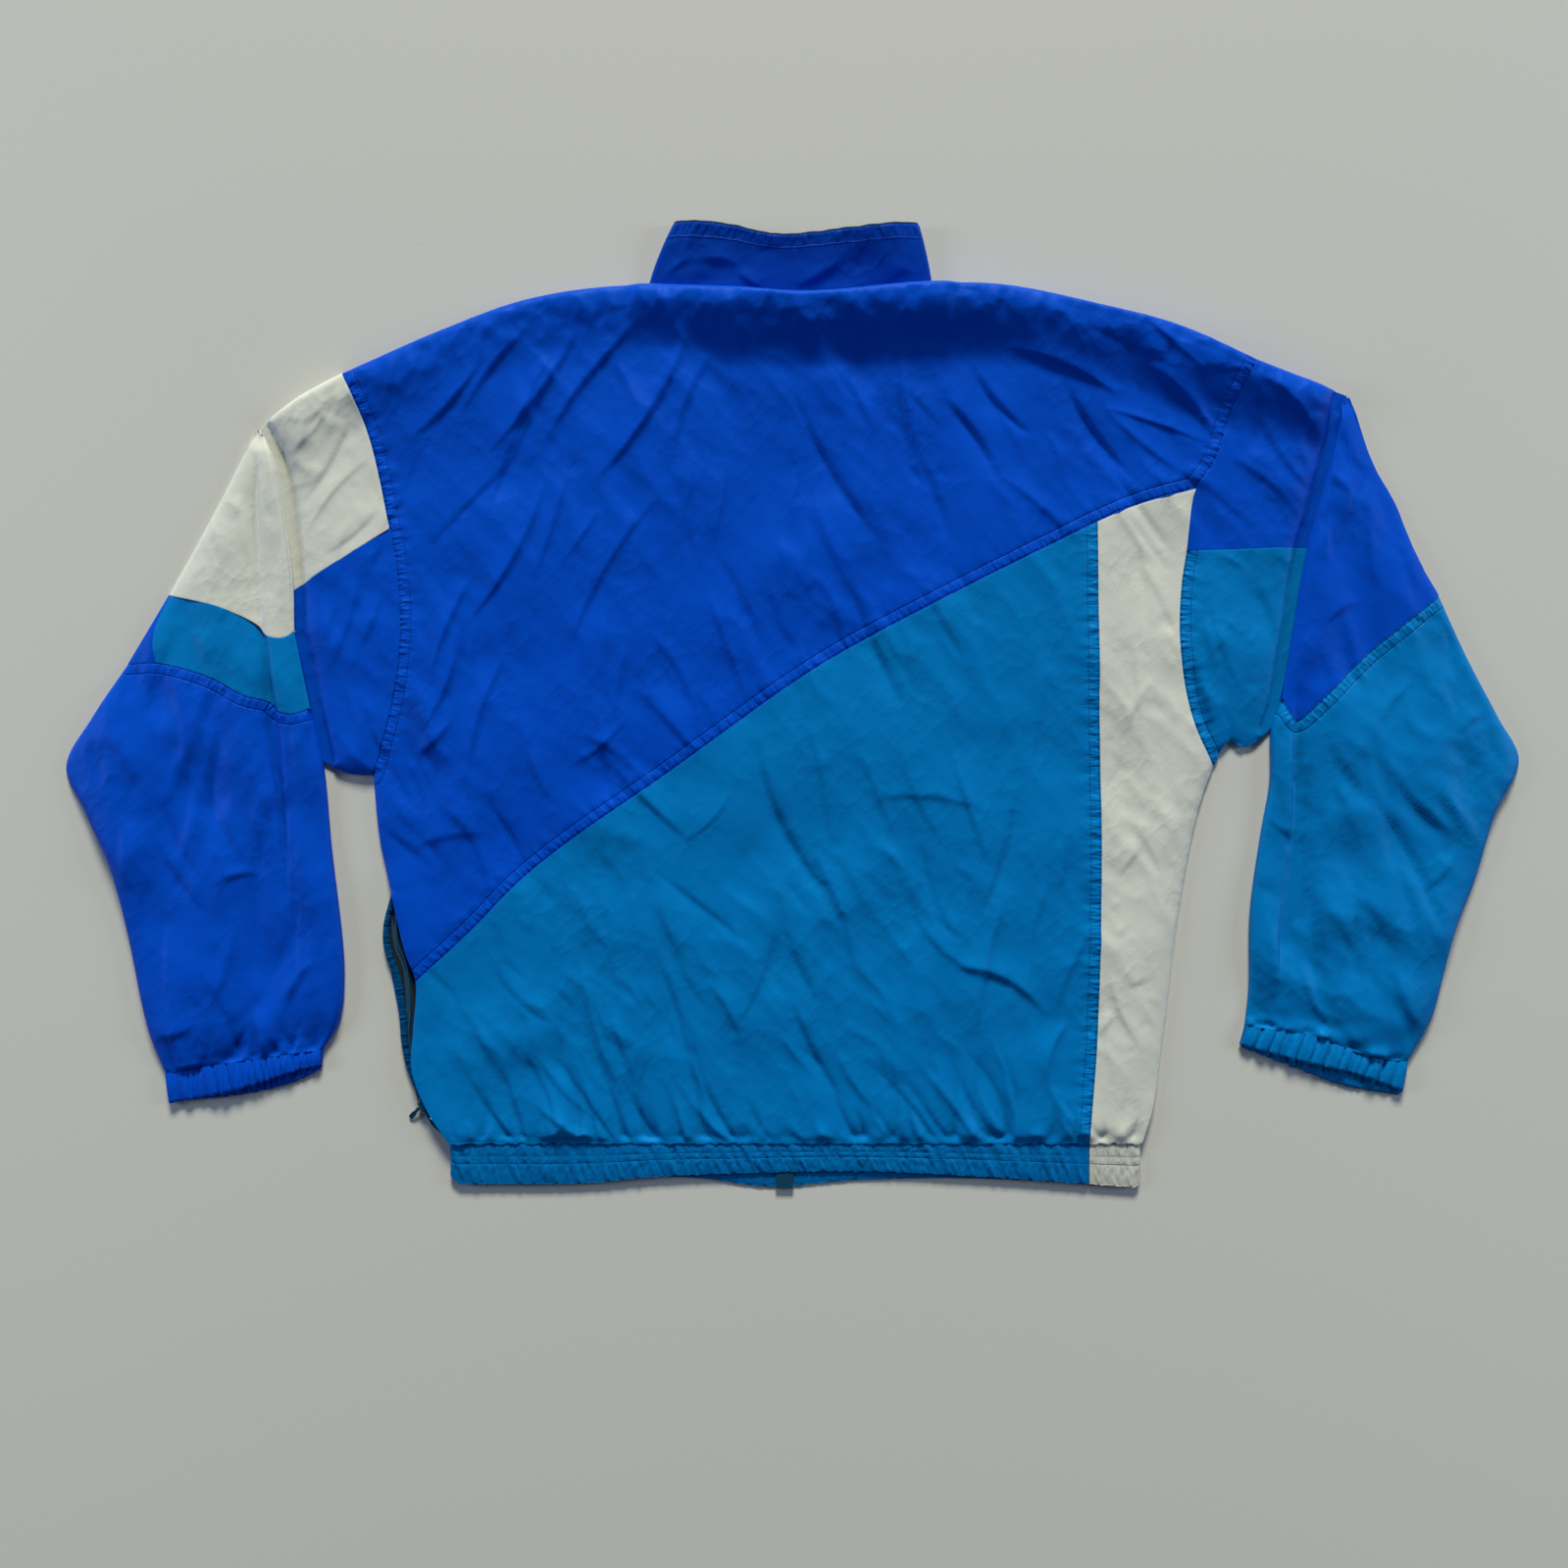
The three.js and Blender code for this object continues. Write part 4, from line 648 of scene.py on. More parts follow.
def nylonTaffeta(name, colour, shade, threadColour, tint, rows=(1.0, 8.4), amount=1.0, roughness=0.48):
    # Nylon taffeta, a thin plain weave with a calendered face: a soft tinted sheen and many fine crinkles.
    # Its threads, 0.1 mm, are too fine to show; the crinkles are facets of 5 to 10 mm, as on the real cloth.
    # rows are the distances of the topstitching from its seam, in millimetres.
    material, tree = newMaterial(name)
    place = addNode(tree, "ShaderNodeTexCoord").outputs["Object"]
    gap = addNode(tree, "ShaderNodeAttribute", {"attribute_name": "seamDistance"}).outputs["Fac"]
    run = addNode(tree, "ShaderNodeAttribute", {"attribute_name": "seamRun"}).outputs["Fac"]

    line = None
    for at in rows:
        off = addNode(tree, "ShaderNodeMath", {"operation": "SUBTRACT", 1: at}, {0: gap})
        off = addNode(tree, "ShaderNodeMath", {"operation": "ABSOLUTE"}, {0: off})
        near = addNode(tree, "ShaderNodeMapRange", {"interpolation_type": "SMOOTHSTEP", 2: stitching["halfWidth"],
                       3: 1.0, 4: 0.0}, {0: off})
        line = near if line is None else addNode(tree, "ShaderNodeMath", {"operation": "MAXIMUM"},
                                                 {0: near, 1: line})
    dash = addNode(tree, "ShaderNodeMath", {"operation": "MODULO", 1: stitching["length"]}, {0: run})
    dash = addNode(tree, "ShaderNodeMath", {"operation": "LESS_THAN", 1: stitching["length"] * stitching["gap"]},
                   {0: dash})
    dash = addNode(tree, "ShaderNodeMath", {"operation": "MULTIPLY_ADD", 1: 0.55, 2: 0.35}, {0: dash})
    thread = addNode(tree, "ShaderNodeMath", {"operation": "MULTIPLY"}, {0: dash, 1: line})

    cloud = addNode(tree, "ShaderNodeTexNoise", {"Scale": 1 / (weave["patch"] * mm), "Detail": 3.0},
                    {"Vector": place})
    tone = addNode(tree, "ShaderNodeMix", {"data_type": "RGBA", 6: linearColour(colour), 7: linearColour(shade)},
                   {0: cloud})
    sewn = addNode(tree, "ShaderNodeMix", {"data_type": "RGBA", 7: linearColour(threadColour)},
                   {0: thread, 6: tone.outputs[2]})

    wobble = addNode(tree, "ShaderNodeTexNoise", {"Scale": 1 / (30 * mm), "Detail": 1.0}, {"Vector": place})
    bent = addNode(tree, "ShaderNodeVectorMath", {"operation": "MULTIPLY_ADD", 1: (weave["wobble"] * mm,) * 3},
                   {0: wobble.outputs["Color"], 2: place})
    patchy = addNode(tree, "ShaderNodeMapRange", {"interpolation_type": "SMOOTHSTEP", 1: 0.38, 2: 0.6, 3: 0.25},
                     {0: cloud})
    height = 0.0
    for size, turn, high in weave["crinkles"]:
        laid = addNode(tree, "ShaderNodeMapping", {"vector_type": "TEXTURE", "Rotation": (0, 0, math.radians(turn)),
                       "Scale": (size * mm, size * mm * weave["stretch"], 1)}, {"Vector": bent})
        cells = addNode(tree, "ShaderNodeTexVoronoi", {"voronoi_dimensions": "2D", "Scale": 1.0}, {"Vector": laid})
        bowl = addNode(tree, "ShaderNodeMath", {"operation": "MULTIPLY"}, {0: cells, 1: cells})
        add = addNode(tree, "ShaderNodeMath", {"operation": "MULTIPLY_ADD", 1: high * amount, 2: 0.0}, {0: bowl})
        if height:
            tree.links.new(height.outputs[0], add.inputs[2])
        height = add
    grain = addNode(tree, "ShaderNodeTexNoise", {"Scale": 1 / (weave["grain"] * mm)}, {"Vector": place})
    height = addNode(tree, "ShaderNodeMath", {"operation": "MULTIPLY"}, {0: height, 1: patchy})
    height = addNode(tree, "ShaderNodeMath", {"operation": "MULTIPLY_ADD", 1: weave["grainHeight"]},
                     {0: grain, 2: height})

    along = addNode(tree, "ShaderNodeMath", {"operation": "DIVIDE", 1: stitching["pucker"]}, {0: run})
    across = addNode(tree, "ShaderNodeMath", {"operation": "DIVIDE", 1: stitching["pucker"] * 3.2}, {0: gap})
    seamPlace = addNode(tree, "ShaderNodeCombineXYZ", None, {0: along, 1: across})
    wave = addNode(tree, "ShaderNodeTexNoise", {"Scale": 1.0, "Detail": 1.5}, {"Vector": seamPlace})
    wave = addNode(tree, "ShaderNodeMath", {"operation": "SUBTRACT", 1: 0.5}, {0: wave})
    fade = addNode(tree, "ShaderNodeMapRange", {"interpolation_type": "SMOOTHSTEP", 1: 1.0, 2: stitching["reach"],
                   3: 2.8, 4: 0.0}, {0: gap})
    height = addNode(tree, "ShaderNodeMath", {"operation": "MULTIPLY_ADD"}, {0: wave, 1: fade, 2: height})
    height = addNode(tree, "ShaderNodeMath", {"operation": "MULTIPLY_ADD", 1: -0.4}, {0: line, 2: height})
    bump = addNode(tree, "ShaderNodeBump", {"Strength": 1.0, "Distance": mm}, {"Height": height})
    cloth = addNode(tree, "ShaderNodeBsdfPrincipled", {"Roughness": roughness, "IOR": 1.5,
                    "Specular IOR Level": 0.17, "Specular Tint": linearColour(tint)},
                    {"Base Color": sewn.outputs[2], "Normal": bump})
    addNode(tree, "ShaderNodeOutputMaterial", None, {"Surface": cloth})
    return material


def fineMaterial(name, colour, shade, roughness, grain, depth, metallic=0.0, coat=0.0):
    # A small hard or woven part: two tones, and a grain of the given size and depth in millimetres that also
    # makes the polish uneven.
    material, tree = newMaterial(name)
    place = addNode(tree, "ShaderNodeTexCoord").outputs["Object"]
    spots = addNode(tree, "ShaderNodeTexNoise", {"Scale": 1 / (grain * mm), "Detail": 3.0}, {"Vector": place})
    tone = addNode(tree, "ShaderNodeMix", {"data_type": "RGBA", 6: linearColour(colour), 7: linearColour(shade)},
                   {0: spots})
    polish = addNode(tree, "ShaderNodeMapRange", {3: roughness * 0.8, 4: min(1.0, roughness * 1.25)}, {0: spots})
    bump = addNode(tree, "ShaderNodeBump", {"Strength": 1.0, "Distance": depth * mm}, {"Height": spots})
    surface = addNode(tree, "ShaderNodeBsdfPrincipled", {"Metallic": metallic, "Coat Weight": coat},
                      {"Base Color": tone.outputs[2], "Roughness": polish, "Normal": bump})
    addNode(tree, "ShaderNodeOutputMaterial", None, {"Surface": surface})
    return material


cloths = {
    "royal": ("#024CC4", "#0244B2", "#023EA4", "#4C86FF"),
    "teal": ("#0276BC", "#026CAA", "#015F9E", "#5CB4F0"),
    "white": ("#D3D6C8", "#C8CBBC", "#AEB0A2", "#FFFFFF"),
}
fabrics = {key: nylonTaffeta(key + " nylon taffeta", *row) for key, row in cloths.items()}
elastics = {
    key: nylonTaffeta(key + " gathered elastic band", row[1], row[2], "#064A6E" if key == "white" else row[2],
                      row[3], (0.0,), 0.5)
    for key, row in cloths.items()
}
# The collar's cloth is the royal taffeta made darker: painted shade, for a collar that faces away from the light.
collarClothPaintedShade = nylonTaffeta("royal taffeta of the collar, darkened as painted shade", "#033FAA", "#033796", "#02308A", "#4C86FF",
                           (9.0,), 1.3)
# The pocket bag is a real part, but its near-black tone is painted shade: the shadowed gap under the back's edge.
pocketBagPaintedShade = fineMaterial("pocket lining, near-black as painted shade", "#04151D", "#020C12", 0.8, 3.0, 0.3)
zipCloth = fineMaterial("woven polyester zip tape", "#04466A", "#033650", 0.75, 1.2, 0.25)
zipPlastic = fineMaterial("moulded acetal zip parts", "#06435C", "#053A50", 0.38, 2.0, 0.06)
sliderMetal = fineMaterial("painted zinc slider", "#0A4C69", "#083F58", 0.3, 1.5, 0.04, 0.2, 0.4)
print("materials made")

# Back
cell = 2.0


def steps(length):
    return max(6, int(round(length / cell)))


def overhang(grid):
    # The gathered cloth hangs a little over the band, unevenly.
    x, y = grid[..., 0], grid[..., 1]
    out = 1.4 + 1.3 * softNoise(x, 0 * x, 8, 411) + 0.8 * softNoise(x, 0 * x, 3.5, 412)
    grid[..., 1] = y - np.maximum(out, 0.1) * np.exp(-np.maximum(0, y - hemY) / 5)
    return grid


def buildBack():
    overWhite = evenly(outlines["overWhite"], steps(78))
    diagonal = evenly(outlines["diagonal"], steps(620))
    upright = evenly(outlines["upright"], steps(470))
    lowPocket, highPocket = cutAt(evenly(outlines["pocketBack"], 120), -284, -208)
    hem = evenly([(-259, hemY), (225, hemY)], len(diagonal) - 1)
    lower = overhang(patch(hem, diagonal, resampled(lowPocket, len(upright) - 1), upright))
    clothPanel("back_lower_cloth", lower, backSurface, fabrics["teal"], [upright],
               ("back_lower",), 81)
    right = resampled(joined(evenly(outlines["sideRight"], 60), whiteHoleRight), len(upright) - 1)
    hemWhite = evenly([(225, hemY), (265, hemY)], len(overWhite) - 1)
    white = overhang(patch(hemWhite, overWhite, upright, right))
    clothPanel("back_side_panel_cloth", white, backSurface, fabrics["white"], [],
               ("back_side_panel",), 83, 0.65)
    left = joined(highPocket, evenly(outlines["sideLeft"], 20), holeLeft)
    rows = steps(460)
    bottom = joined(diagonal, overWhite)
    top = evenly(outlines["shoulder"], len(bottom) - 1)
    upper = patch(bottom, top, resampled(left, rows), resampled(upperHoleRight, rows))
    clothPanel("back_upper_cloth", upper, backSurface, fabrics["royal"], [bottom, holeLeft, upperHoleRight],
               ("back_upper",), 85)


buildBack()
print("back made")


# Sleeves
def halfTurn(x, y, z, radius, bulge, count):
    # Points of a half circle in a row, from high to low: x + bulge r cos a, z + r sin a.
    a = np.radians(np.linspace(90, -90, count))[None, :]
    return np.stack([x[:, None] + bulge * radius * np.cos(a), np.repeat(y[:, None], count, 1),
                     z + radius * np.sin(a) * np.ones((len(x), 1))], axis=-1)


def overPleat(grid, side, amount=1.0):
    # The arm's upper side: its height, eased to the fold's, then a half turn and a short return.
    edge = grid[:, -1]
    turn = (layers["foldTop"] - layers["foldReturn"]) / 2
    flat = grid[:, :-1]
    share = np.linspace(0, 1, grid.shape[1])[None, :-1]
    height = armSurface(flat[..., 0], flat[..., 1], amount)
    ease = smooth((share - 0.86) / 0.14)
    height = height + (layers["foldTop"] - height) * ease
    over = np.dstack([flat, height])
    fold = halfTurn(edge[:, 0] + side * turn, edge[:, 1], layers["foldReturn"] + turn, turn, -side, 8)
    sheet = np.concatenate([over, fold], axis=1)
    fromTip = np.hypot(sheet[..., 0] - edge[-1, 0], sheet[..., 1] - edge[-1, 1])
    sheet[..., 2] -= 3.6 * (1 - smooth(fromTip / 16)) if edge[-1, 1] > 190 else 0
    return sheet


def pleatedSheet(name, points, colour, node, seed):
    # A pleated sheet: points are already at their height, so only the puckers are added.
    xy, z = points[..., :2], points[..., 2]
    z = z + puckers(seamAttributes(xy, []), seed) * 0.8
    xy, z = turnedDown(xy, z)
    flat = np.dstack([xy, z]).reshape(-1, 3)
    addPiece(name, flat, facingUp(flat, gridFaces(*z.shape)), fabrics[colour], seamAttributes(xy, []),
             (node,))


def buildUpperArm(side, cut, capHole, underHole, colours):
    # colours names the cloth of the cap, of the panel under the pleat and, on the left, of the stripe.
    rows = steps(180)
    wide = steps(105)
    share = np.linspace(0, 0.992, rows + 1)
    outer, edge = smoothLine(cut["outer"], share), smoothLine(cut["edge"], share)
    over = patch(evenly(cut["capSeam"], wide), resampled(np.array([outer[-1], edge[-1]]), wide), outer, edge)
    under = patch(evenly(cut["underSeam"], steps(90)), evenly(cut["topFromTuck"], steps(90)),
                  evenly(cut["tuck"], rows), resampled(capHole, rows))
    root = (layers["foldReturn"] - layers["back"]) / 2
    tuck = under[:, 0]
    folded = halfTurn(tuck[:, 0] - cut["side"] * root, tuck[:, 1], layers["back"] + root, root, cut["side"], 6)
    flat = under[:, 1:]
    amount = 0.5 if colours["cap"] == "white" else 1.0
    base = np.dstack([flat, backSurface(flat[..., 0], flat[..., 1], amount)])
    cap = np.concatenate([overPleat(over, cut["side"], amount), folded, base], axis=1)
    pleatedSheet(f"{side}_cap_cloth", cap, colours["cap"], f"{side}_cap", 91)

    underTop = resampled(np.array([cut["underCorner"], cut["underSeam"][1]], float), steps(90))
    arm = patch(evenly(cut["underArm"], steps(90)), underTop, evenly(cut["underEdge"], steps(170)),
                resampled(underHole, steps(170)))
    clothPanel(f"{side}_underarm_cloth", arm, backSurface, fabrics[colours["under"]],
               [underHole] if cut["side"] > 0 else [], (f"{side}_underarm",), 93)
    if "stripe" in colours:
        end = cut["stripeEnd"]
        rows = steps(70)
        bottom = evenly([end[0]] + cut["lowerSeam"][2:], wide)
        stripe = patch(bottom, evenly(cut["capSeam"], wide), evenly(end, rows),
                       evenly([cut["lowerSeam"][-1], cut["capSeam"][-1]], rows))
        pleatedSheet(f"{side}_stripe_cloth", overPleat(stripe, cut["side"]), colours["stripe"],
                     f"{side}_stripe", 95)
        wedge = patch(evenly([cut["lowerSeam"][0], end[0]], 12), evenly([(-472, 85), end[-1]], 12),
                      evenly([cut["lowerSeam"][0], (-472, 85)], rows), evenly(end, rows))
        clothPanel(f"{side}_wedge_cloth", wedge, armSurface, fabrics["royal"], [], (), 96)


def flatTube(grid, topHeight, floorHeight, bulge=1.6):
    # A flattened tube: the grid raised to its height, a middle point at each side, and the grid again on the
    # floor, as one ring of columns. Both layers are drawn in by bulge at the silhouette.
    def drawn(g):
        g = g.copy()
        for end, step in ((0, 1), (-1, -2)):
            d = g[:, step] - g[:, end]
            g[:, end] += bulge * d / np.maximum(np.hypot(d[:, 0], d[:, 1]), 1e-6)[:, None]
        return g

    g = drawn(grid)
    top = np.dstack([g, topHeight])
    floor = np.dstack([g, floorHeight])[:, ::-1]

    def middle(a, b, line):
        return np.concatenate([line, ((a[:, 2] + b[:, 2]) / 2)[:, None]], axis=1)[:, None]

    rightMid = middle(top[:, -1], floor[:, 0], grid[:, -1])
    leftMid = middle(top[:, 0], floor[:, -1], grid[:, 0])
    return np.concatenate([top, rightMid, floor, leftMid], axis=1)


def addTube(name, ring, material, seams, replaces):
    rows, columns = ring.shape[:2]
    points = ring.reshape(-1, 3)
    faces = gridFaces(rows, columns, True)
    # The tube's upper half has to look up.
    half = faces.reshape(rows - 1, columns, 4)[:, : columns // 2 - 1].reshape(-1, 4)
    up = facingUp(points, half)
    if not np.array_equal(up, half):
        faces = faces[:, ::-1]
    return addPiece(name, points, faces, material, seamAttributes(ring[..., :2], seams), replaces)


def buildLowerArm(side, cut, colour, seed):
    # The lower sleeve: the creased upper layer, and below it the level one on the floor.
    wide, rows = steps(130), steps(300)
    seamLine = evenly(cut["lowerSeam"], wide)
    grid = patch(evenly(cut["cuffSeam"], wide), seamLine, evenly(cut["lowerOuter"], rows),
                 evenly(cut["lowerInner"], rows))
    attributes = seamAttributes(grid, [seamLine])
    height = armSurface(grid[..., 0], grid[..., 1]) + 0.75 + puckers(attributes, seed)
    height[:, [0, -1]] = np.minimum(height[:, [0, -1]], 4.2)
    height[0] -= 1.0
    ring = flatTube(grid, np.maximum(height, 2.0), np.full(height.shape, 0.3))
    addTube(f"{side}_lower_cloth", ring, fabrics[colour], [seamLine], (f"{side}_lower",))


cuffForm = {"wall": 1.4, "opening": 3.4, "pleats": 12, "pleatHeight": 1.8, "depth": 14, "scallop": 1.1}


def buildCuff(side, cut, colour, seed):
    # Rings from deep inside the mouth, out over its rim and up to the sleeve. Both layers are pleated.
    f = cuffForm
    wide = steps(120) * 2
    u = np.linspace(0, 1, wide + 1)
    seam = evenly(cut["cuffSeam"], wide)
    mouth, below = evenly(cut["cuffMouth"], wide), evenly(cut["cuffMouthBelow"], wide)
    away = (seam - mouth) / np.hypot(*(seam - mouth).T)[:, None]
    arch = np.sin(np.pi * u) ** 0.5
    inside = np.minimum(1, 12 * u * (1 - u))
    rows, tops, floors = [], [], []
    inner = [(-d, 1) for d in (f["depth"], f["depth"] * 0.5, 2.0)]
    outer = [(0.0, 0.6)] + [(v, 0) for v in np.linspace(0.04, 1, 12)]
    lowerRows = []
    for v, inset in inner + outer:
        bend = 2.5 * max(0, v)
        wide1 = softNoise(u * 100 + bend, 0 * u, 100 / f["pleats"], seed)
        wide2 = softNoise(u * 100 - bend, 0 * u, 40 / f["pleats"], seed + 1)
        waves = (0.5 * wide1 - np.exp(-((wide1 / 0.13) ** 2)) - 0.45 * np.exp(-((wide2 / 0.2) ** 2))) * inside
        top = 4.4 + f["opening"] * arch * (1 - 0.4 * max(0, v))
        edge = away * (f["scallop"] * wide2 * inside * max(0, 1 - abs(v) * 4))[:, None]
        at = (mouth - away * v if v < 0 else mouth + (seam - mouth) * v) + edge
        atBelow = (below - away * v if v < 0 else below + (seam - below) * v) + edge
        puffed = 0.9 * np.sin(np.pi * max(0, min(1, v)))
        rows.append(at)
        lowerRows.append(atBelow)
        tops.append(top + puffed + f["pleatHeight"] * waves - f["wall"] * inset)
        floors.append(np.full(u.shape, 0.3) + f["wall"] * inset + inset * np.abs(waves))
    topRing, floorRing = np.array(rows), np.array(lowerRows)
    ring = flatTube(topRing, np.array(tops), np.array(tops) * 0)
    low = flatTube(floorRing, np.array(tops) * 0, np.array(floors))
    columns = wide + 1
    ring[:, columns + 1:2 * columns + 1] = low[:, columns + 1:2 * columns + 1]
    ring[:, columns, 2] = (ring[:, columns - 1, 2] + ring[:, columns + 1, 2]) / 2
    ring[:, -1, 2] = (ring[:, 0, 2] + ring[:, -2, 2]) / 2
    addTube(f"{side}_cuff_cloth", ring, fabrics[colour], [], (f"{side}_cuff",))


buildUpperArm("sleeve_left", sleeveLeft, capHoleLeft, underHoleLeft,
              {"cap": "white", "under": "royal", "stripe": "teal"})
buildUpperArm("sleeve_right", sleeveRight, capHoleRight, underHoleRight, {"cap": "royal", "under": "teal"})
buildLowerArm("sleeve_left", sleeveLeft, "royal", 97)
buildLowerArm("sleeve_right", sleeveRight, "teal", 99)
buildCuff("sleeve_left", sleeveLeft, "royal", 121)
buildCuff("sleeve_right", sleeveRight, "teal", 127)
print("sleeves made")

# Hem band
hemForm = {
    "low": 1.3, "high": 4.2, "left": -258.0, "right": 263.0, "seamX": 225.0, "underEnd": 241.0,
    "outside": 1.0, "inside": 0.8, "height": 33.0, "rows": 26, "step": 0.95,
    "pinch": (0.47, 0.66), "ribs": 0.78, "fineRibs": 0.5,
    "backBottom": [(-259, -361), (-155, -360), (-102, -355.3), (-51, -353), (52, -351), (141, -355), (266, -364)],
    "frontBottom": [(-259, -361), (-155, -360), (-102, -355.8), (-68, -357), (-20, -363), (52, -358), (141, -357),
                    (266, -364)],
}


def levelOf(rows, x):
    line = evenly(rows, 80)
    return np.interp(x, line[:, 0], line[:, 1])


def hemPiece(node, path, colour, seed):
    # path has rows of x, z, its outward lean in x and z, whether it lies under, and how high the ribs are.
    # The section is a loop: up the outer face and down the inner one. Ribs run up the band, coarse below the
    # stitching and fine above it, and two stitched rows pinch it.
    f = hemForm
    x, z, nx, nz, under, wave = path
    v = np.linspace(0, 1, f["rows"])[:, None]
    bottom = np.where(under > 0, levelOf(f["frontBottom"], x), levelOf(f["backBottom"], x))[None]
    y = bottom + (hemY - 0.2 - bottom) * v
    run = np.concatenate([[0], np.cumsum(np.hypot(np.diff(x), np.diff(z)))])[None] + 0 * v
    lower = 1 - smooth((v - 0.4) / 0.25)
    coarse = softNoise(run + 9 * v, v * 4, 5.6, seed)
    fine = softNoise(run - 2 * v, v * 3, 3.4, seed + 1)
    ribs = -f["ribs"] * np.exp(-((coarse / 0.2) ** 2)) * (0.35 + 0.65 * lower)
    ribs -= f["fineRibs"] * np.exp(-((fine / 0.26) ** 2)) * (1 - 0.65 * lower)
    ribs += 0.9 * coarse + 0.5 * softNoise(run + 9 * v, v * 8, 8.0, seed + 2)
    for at in f["pinch"]:
        ribs -= 0.3 * np.exp(-(((v - at) / 0.03) ** 2))
    ribs = ribs * wave[None]
    y = y + 0.9 * softNoise(run, 0 * v, 4.0, seed + 3) * (1 - v) * wave[None]
    for at, turn in ((f["left"], 9.0), (f["right"], 5.0)):
        y = y + 0.6 * turn * np.maximum(0, 1 - np.abs(x - at) / turn)[None] ** 2 * (1 - v) ** 2
    bow = (1 - (2 * v - 1) ** 4) ** 0.5
    out = f["outside"] * bow + ribs * (0.35 + 0.65 * bow)
    back = -f["inside"] * bow + 0.5 * ribs * bow

    def face(offset):
        return np.dstack([x[None] + nx[None] * offset, y, np.maximum(z[None] + nz[None] * offset, 0.3)])

    ring = np.concatenate([face(out), face(back)[::-1]], axis=0).transpose(1, 0, 2)
    near = np.min([np.abs(v - at) for at in f["pinch"] + (0.985,)], axis=0) * f["height"] + 0 * x[None]
    near = np.concatenate([near, near[::-1]], axis=0).T
    runs = np.concatenate([run, run[::-1]], axis=0).T
    faces = gridFaces(ring.shape[0], ring.shape[1], True)
    points = ring.reshape(-1, 3)
    outer = faces.reshape(ring.shape[0] - 1, -1, 4)[:, : f["rows"] - 1]
    top = outer[(nz[:-1] > 0.9)] if (nz > 0.9).any() else outer
    up = facingUp(points, top.reshape(-1, 4))
    same = np.array_equal(up, top.reshape(-1, 4))
    if same != bool((nz > 0.9).any()):
        faces = faces[:, ::-1]
    addPiece(node + "_cloth", points, faces, elastics[colour], {"seamDistance": near, "seamRun": runs},
             (node,))


def buildHem():
    f = hemForm
    step = f["step"] * 1
    radius = (f["high"] - f["low"]) / 2
    middle = (f["high"] + f["low"]) / 2
    zipEdge = 6.9
    a = np.radians(np.linspace(-75, 75, 9))

    def straight(x0, x1, under):
        x = np.linspace(x0, x1, max(3, int(abs(x1 - x0) / (step * (2 if under else 1)))))
        one = np.ones(x.shape)
        z = f["low"] if under else f["high"]
        return np.stack([x, z * one, 0 * one, (-1 if under else 1) * one, one * under, one * (0.7 if under else 1)])

    def turned(x, side, order):
        one = np.ones(a.shape)
        return np.stack([x + side * radius * np.cos(a), middle + radius * np.sin(a), side * np.cos(a), np.sin(a),
                         one * (a < 0), 0.6 * one])[:, ::order]

    left, right = f["left"] + radius, f["right"] - radius
    first = np.concatenate([straight(zipLine["x"] - zipEdge, left, 1), turned(left, -1, 1),
                            straight(left, f["seamX"] - 0.2, 0)], axis=1)
    side = np.concatenate([straight(f["seamX"] + 0.2, right, 0), turned(right, 1, -1),
                           straight(right, f["underEnd"] + 0.2, 1)], axis=1)
    last = straight(f["underEnd"] - 0.2, zipLine["x"] + zipEdge, 1)
    hemPiece("hem_band_left_and_back", first, "teal", 141)
    hemPiece("hem_band_side", side, "white", 145)
    hemPiece("hem_band_front_right", last, "teal", 149)


buildHem()
print("hem band made")

# Collar
collarForm = {
    "wall": 2.0, "low": 1.0, "rise": 8.0, "stand": 3.0, "piping": 0.75,
    "top": [(-110, 362), (-88, 364), (-51, 361), (-11, 354), (42, 358), (95, 363), (110, 362)],
    "creases": [  # as the back's creases
        (-99, 322, -72, 338, 3, 5, 2.4), (-75, 336, -38, 332, 3, 6, 2.6),
        (-42, 330, -20, 316, -2, 5, 2.2), (0, 318, 42, 343, -4, 6, 2.6),
        (48, 326, 60, 352, 3, 5, -1.6), (-100, 350, -80, 330, 2, 5, -1.4),
        (70, 320, 92, 330, 3, 5, 1.2), (-30, 340, -6, 345, 2, 5, -1.4), (84, 356, 96, 328, 3, 5, 1.2),
        (20, 312, 66, 316, 2, 5, 1.6), (-70, 312, -30, 315, 2, 5, 1.8),
    ],
}


def frontNeck(x):
    f = clothForm
    return f["neckY"] - f["neckDrop"] * np.maximum(0, 1 - (x / f["neckHalf"]) ** 2)


def frontCollarTop(x):
    c = clothForm
    return levelOf(collarForm["top"], x) - c["neckDrop"] * np.maximum(0, 1 - (x / c["neckHalf"]) ** 2) ** 1.3


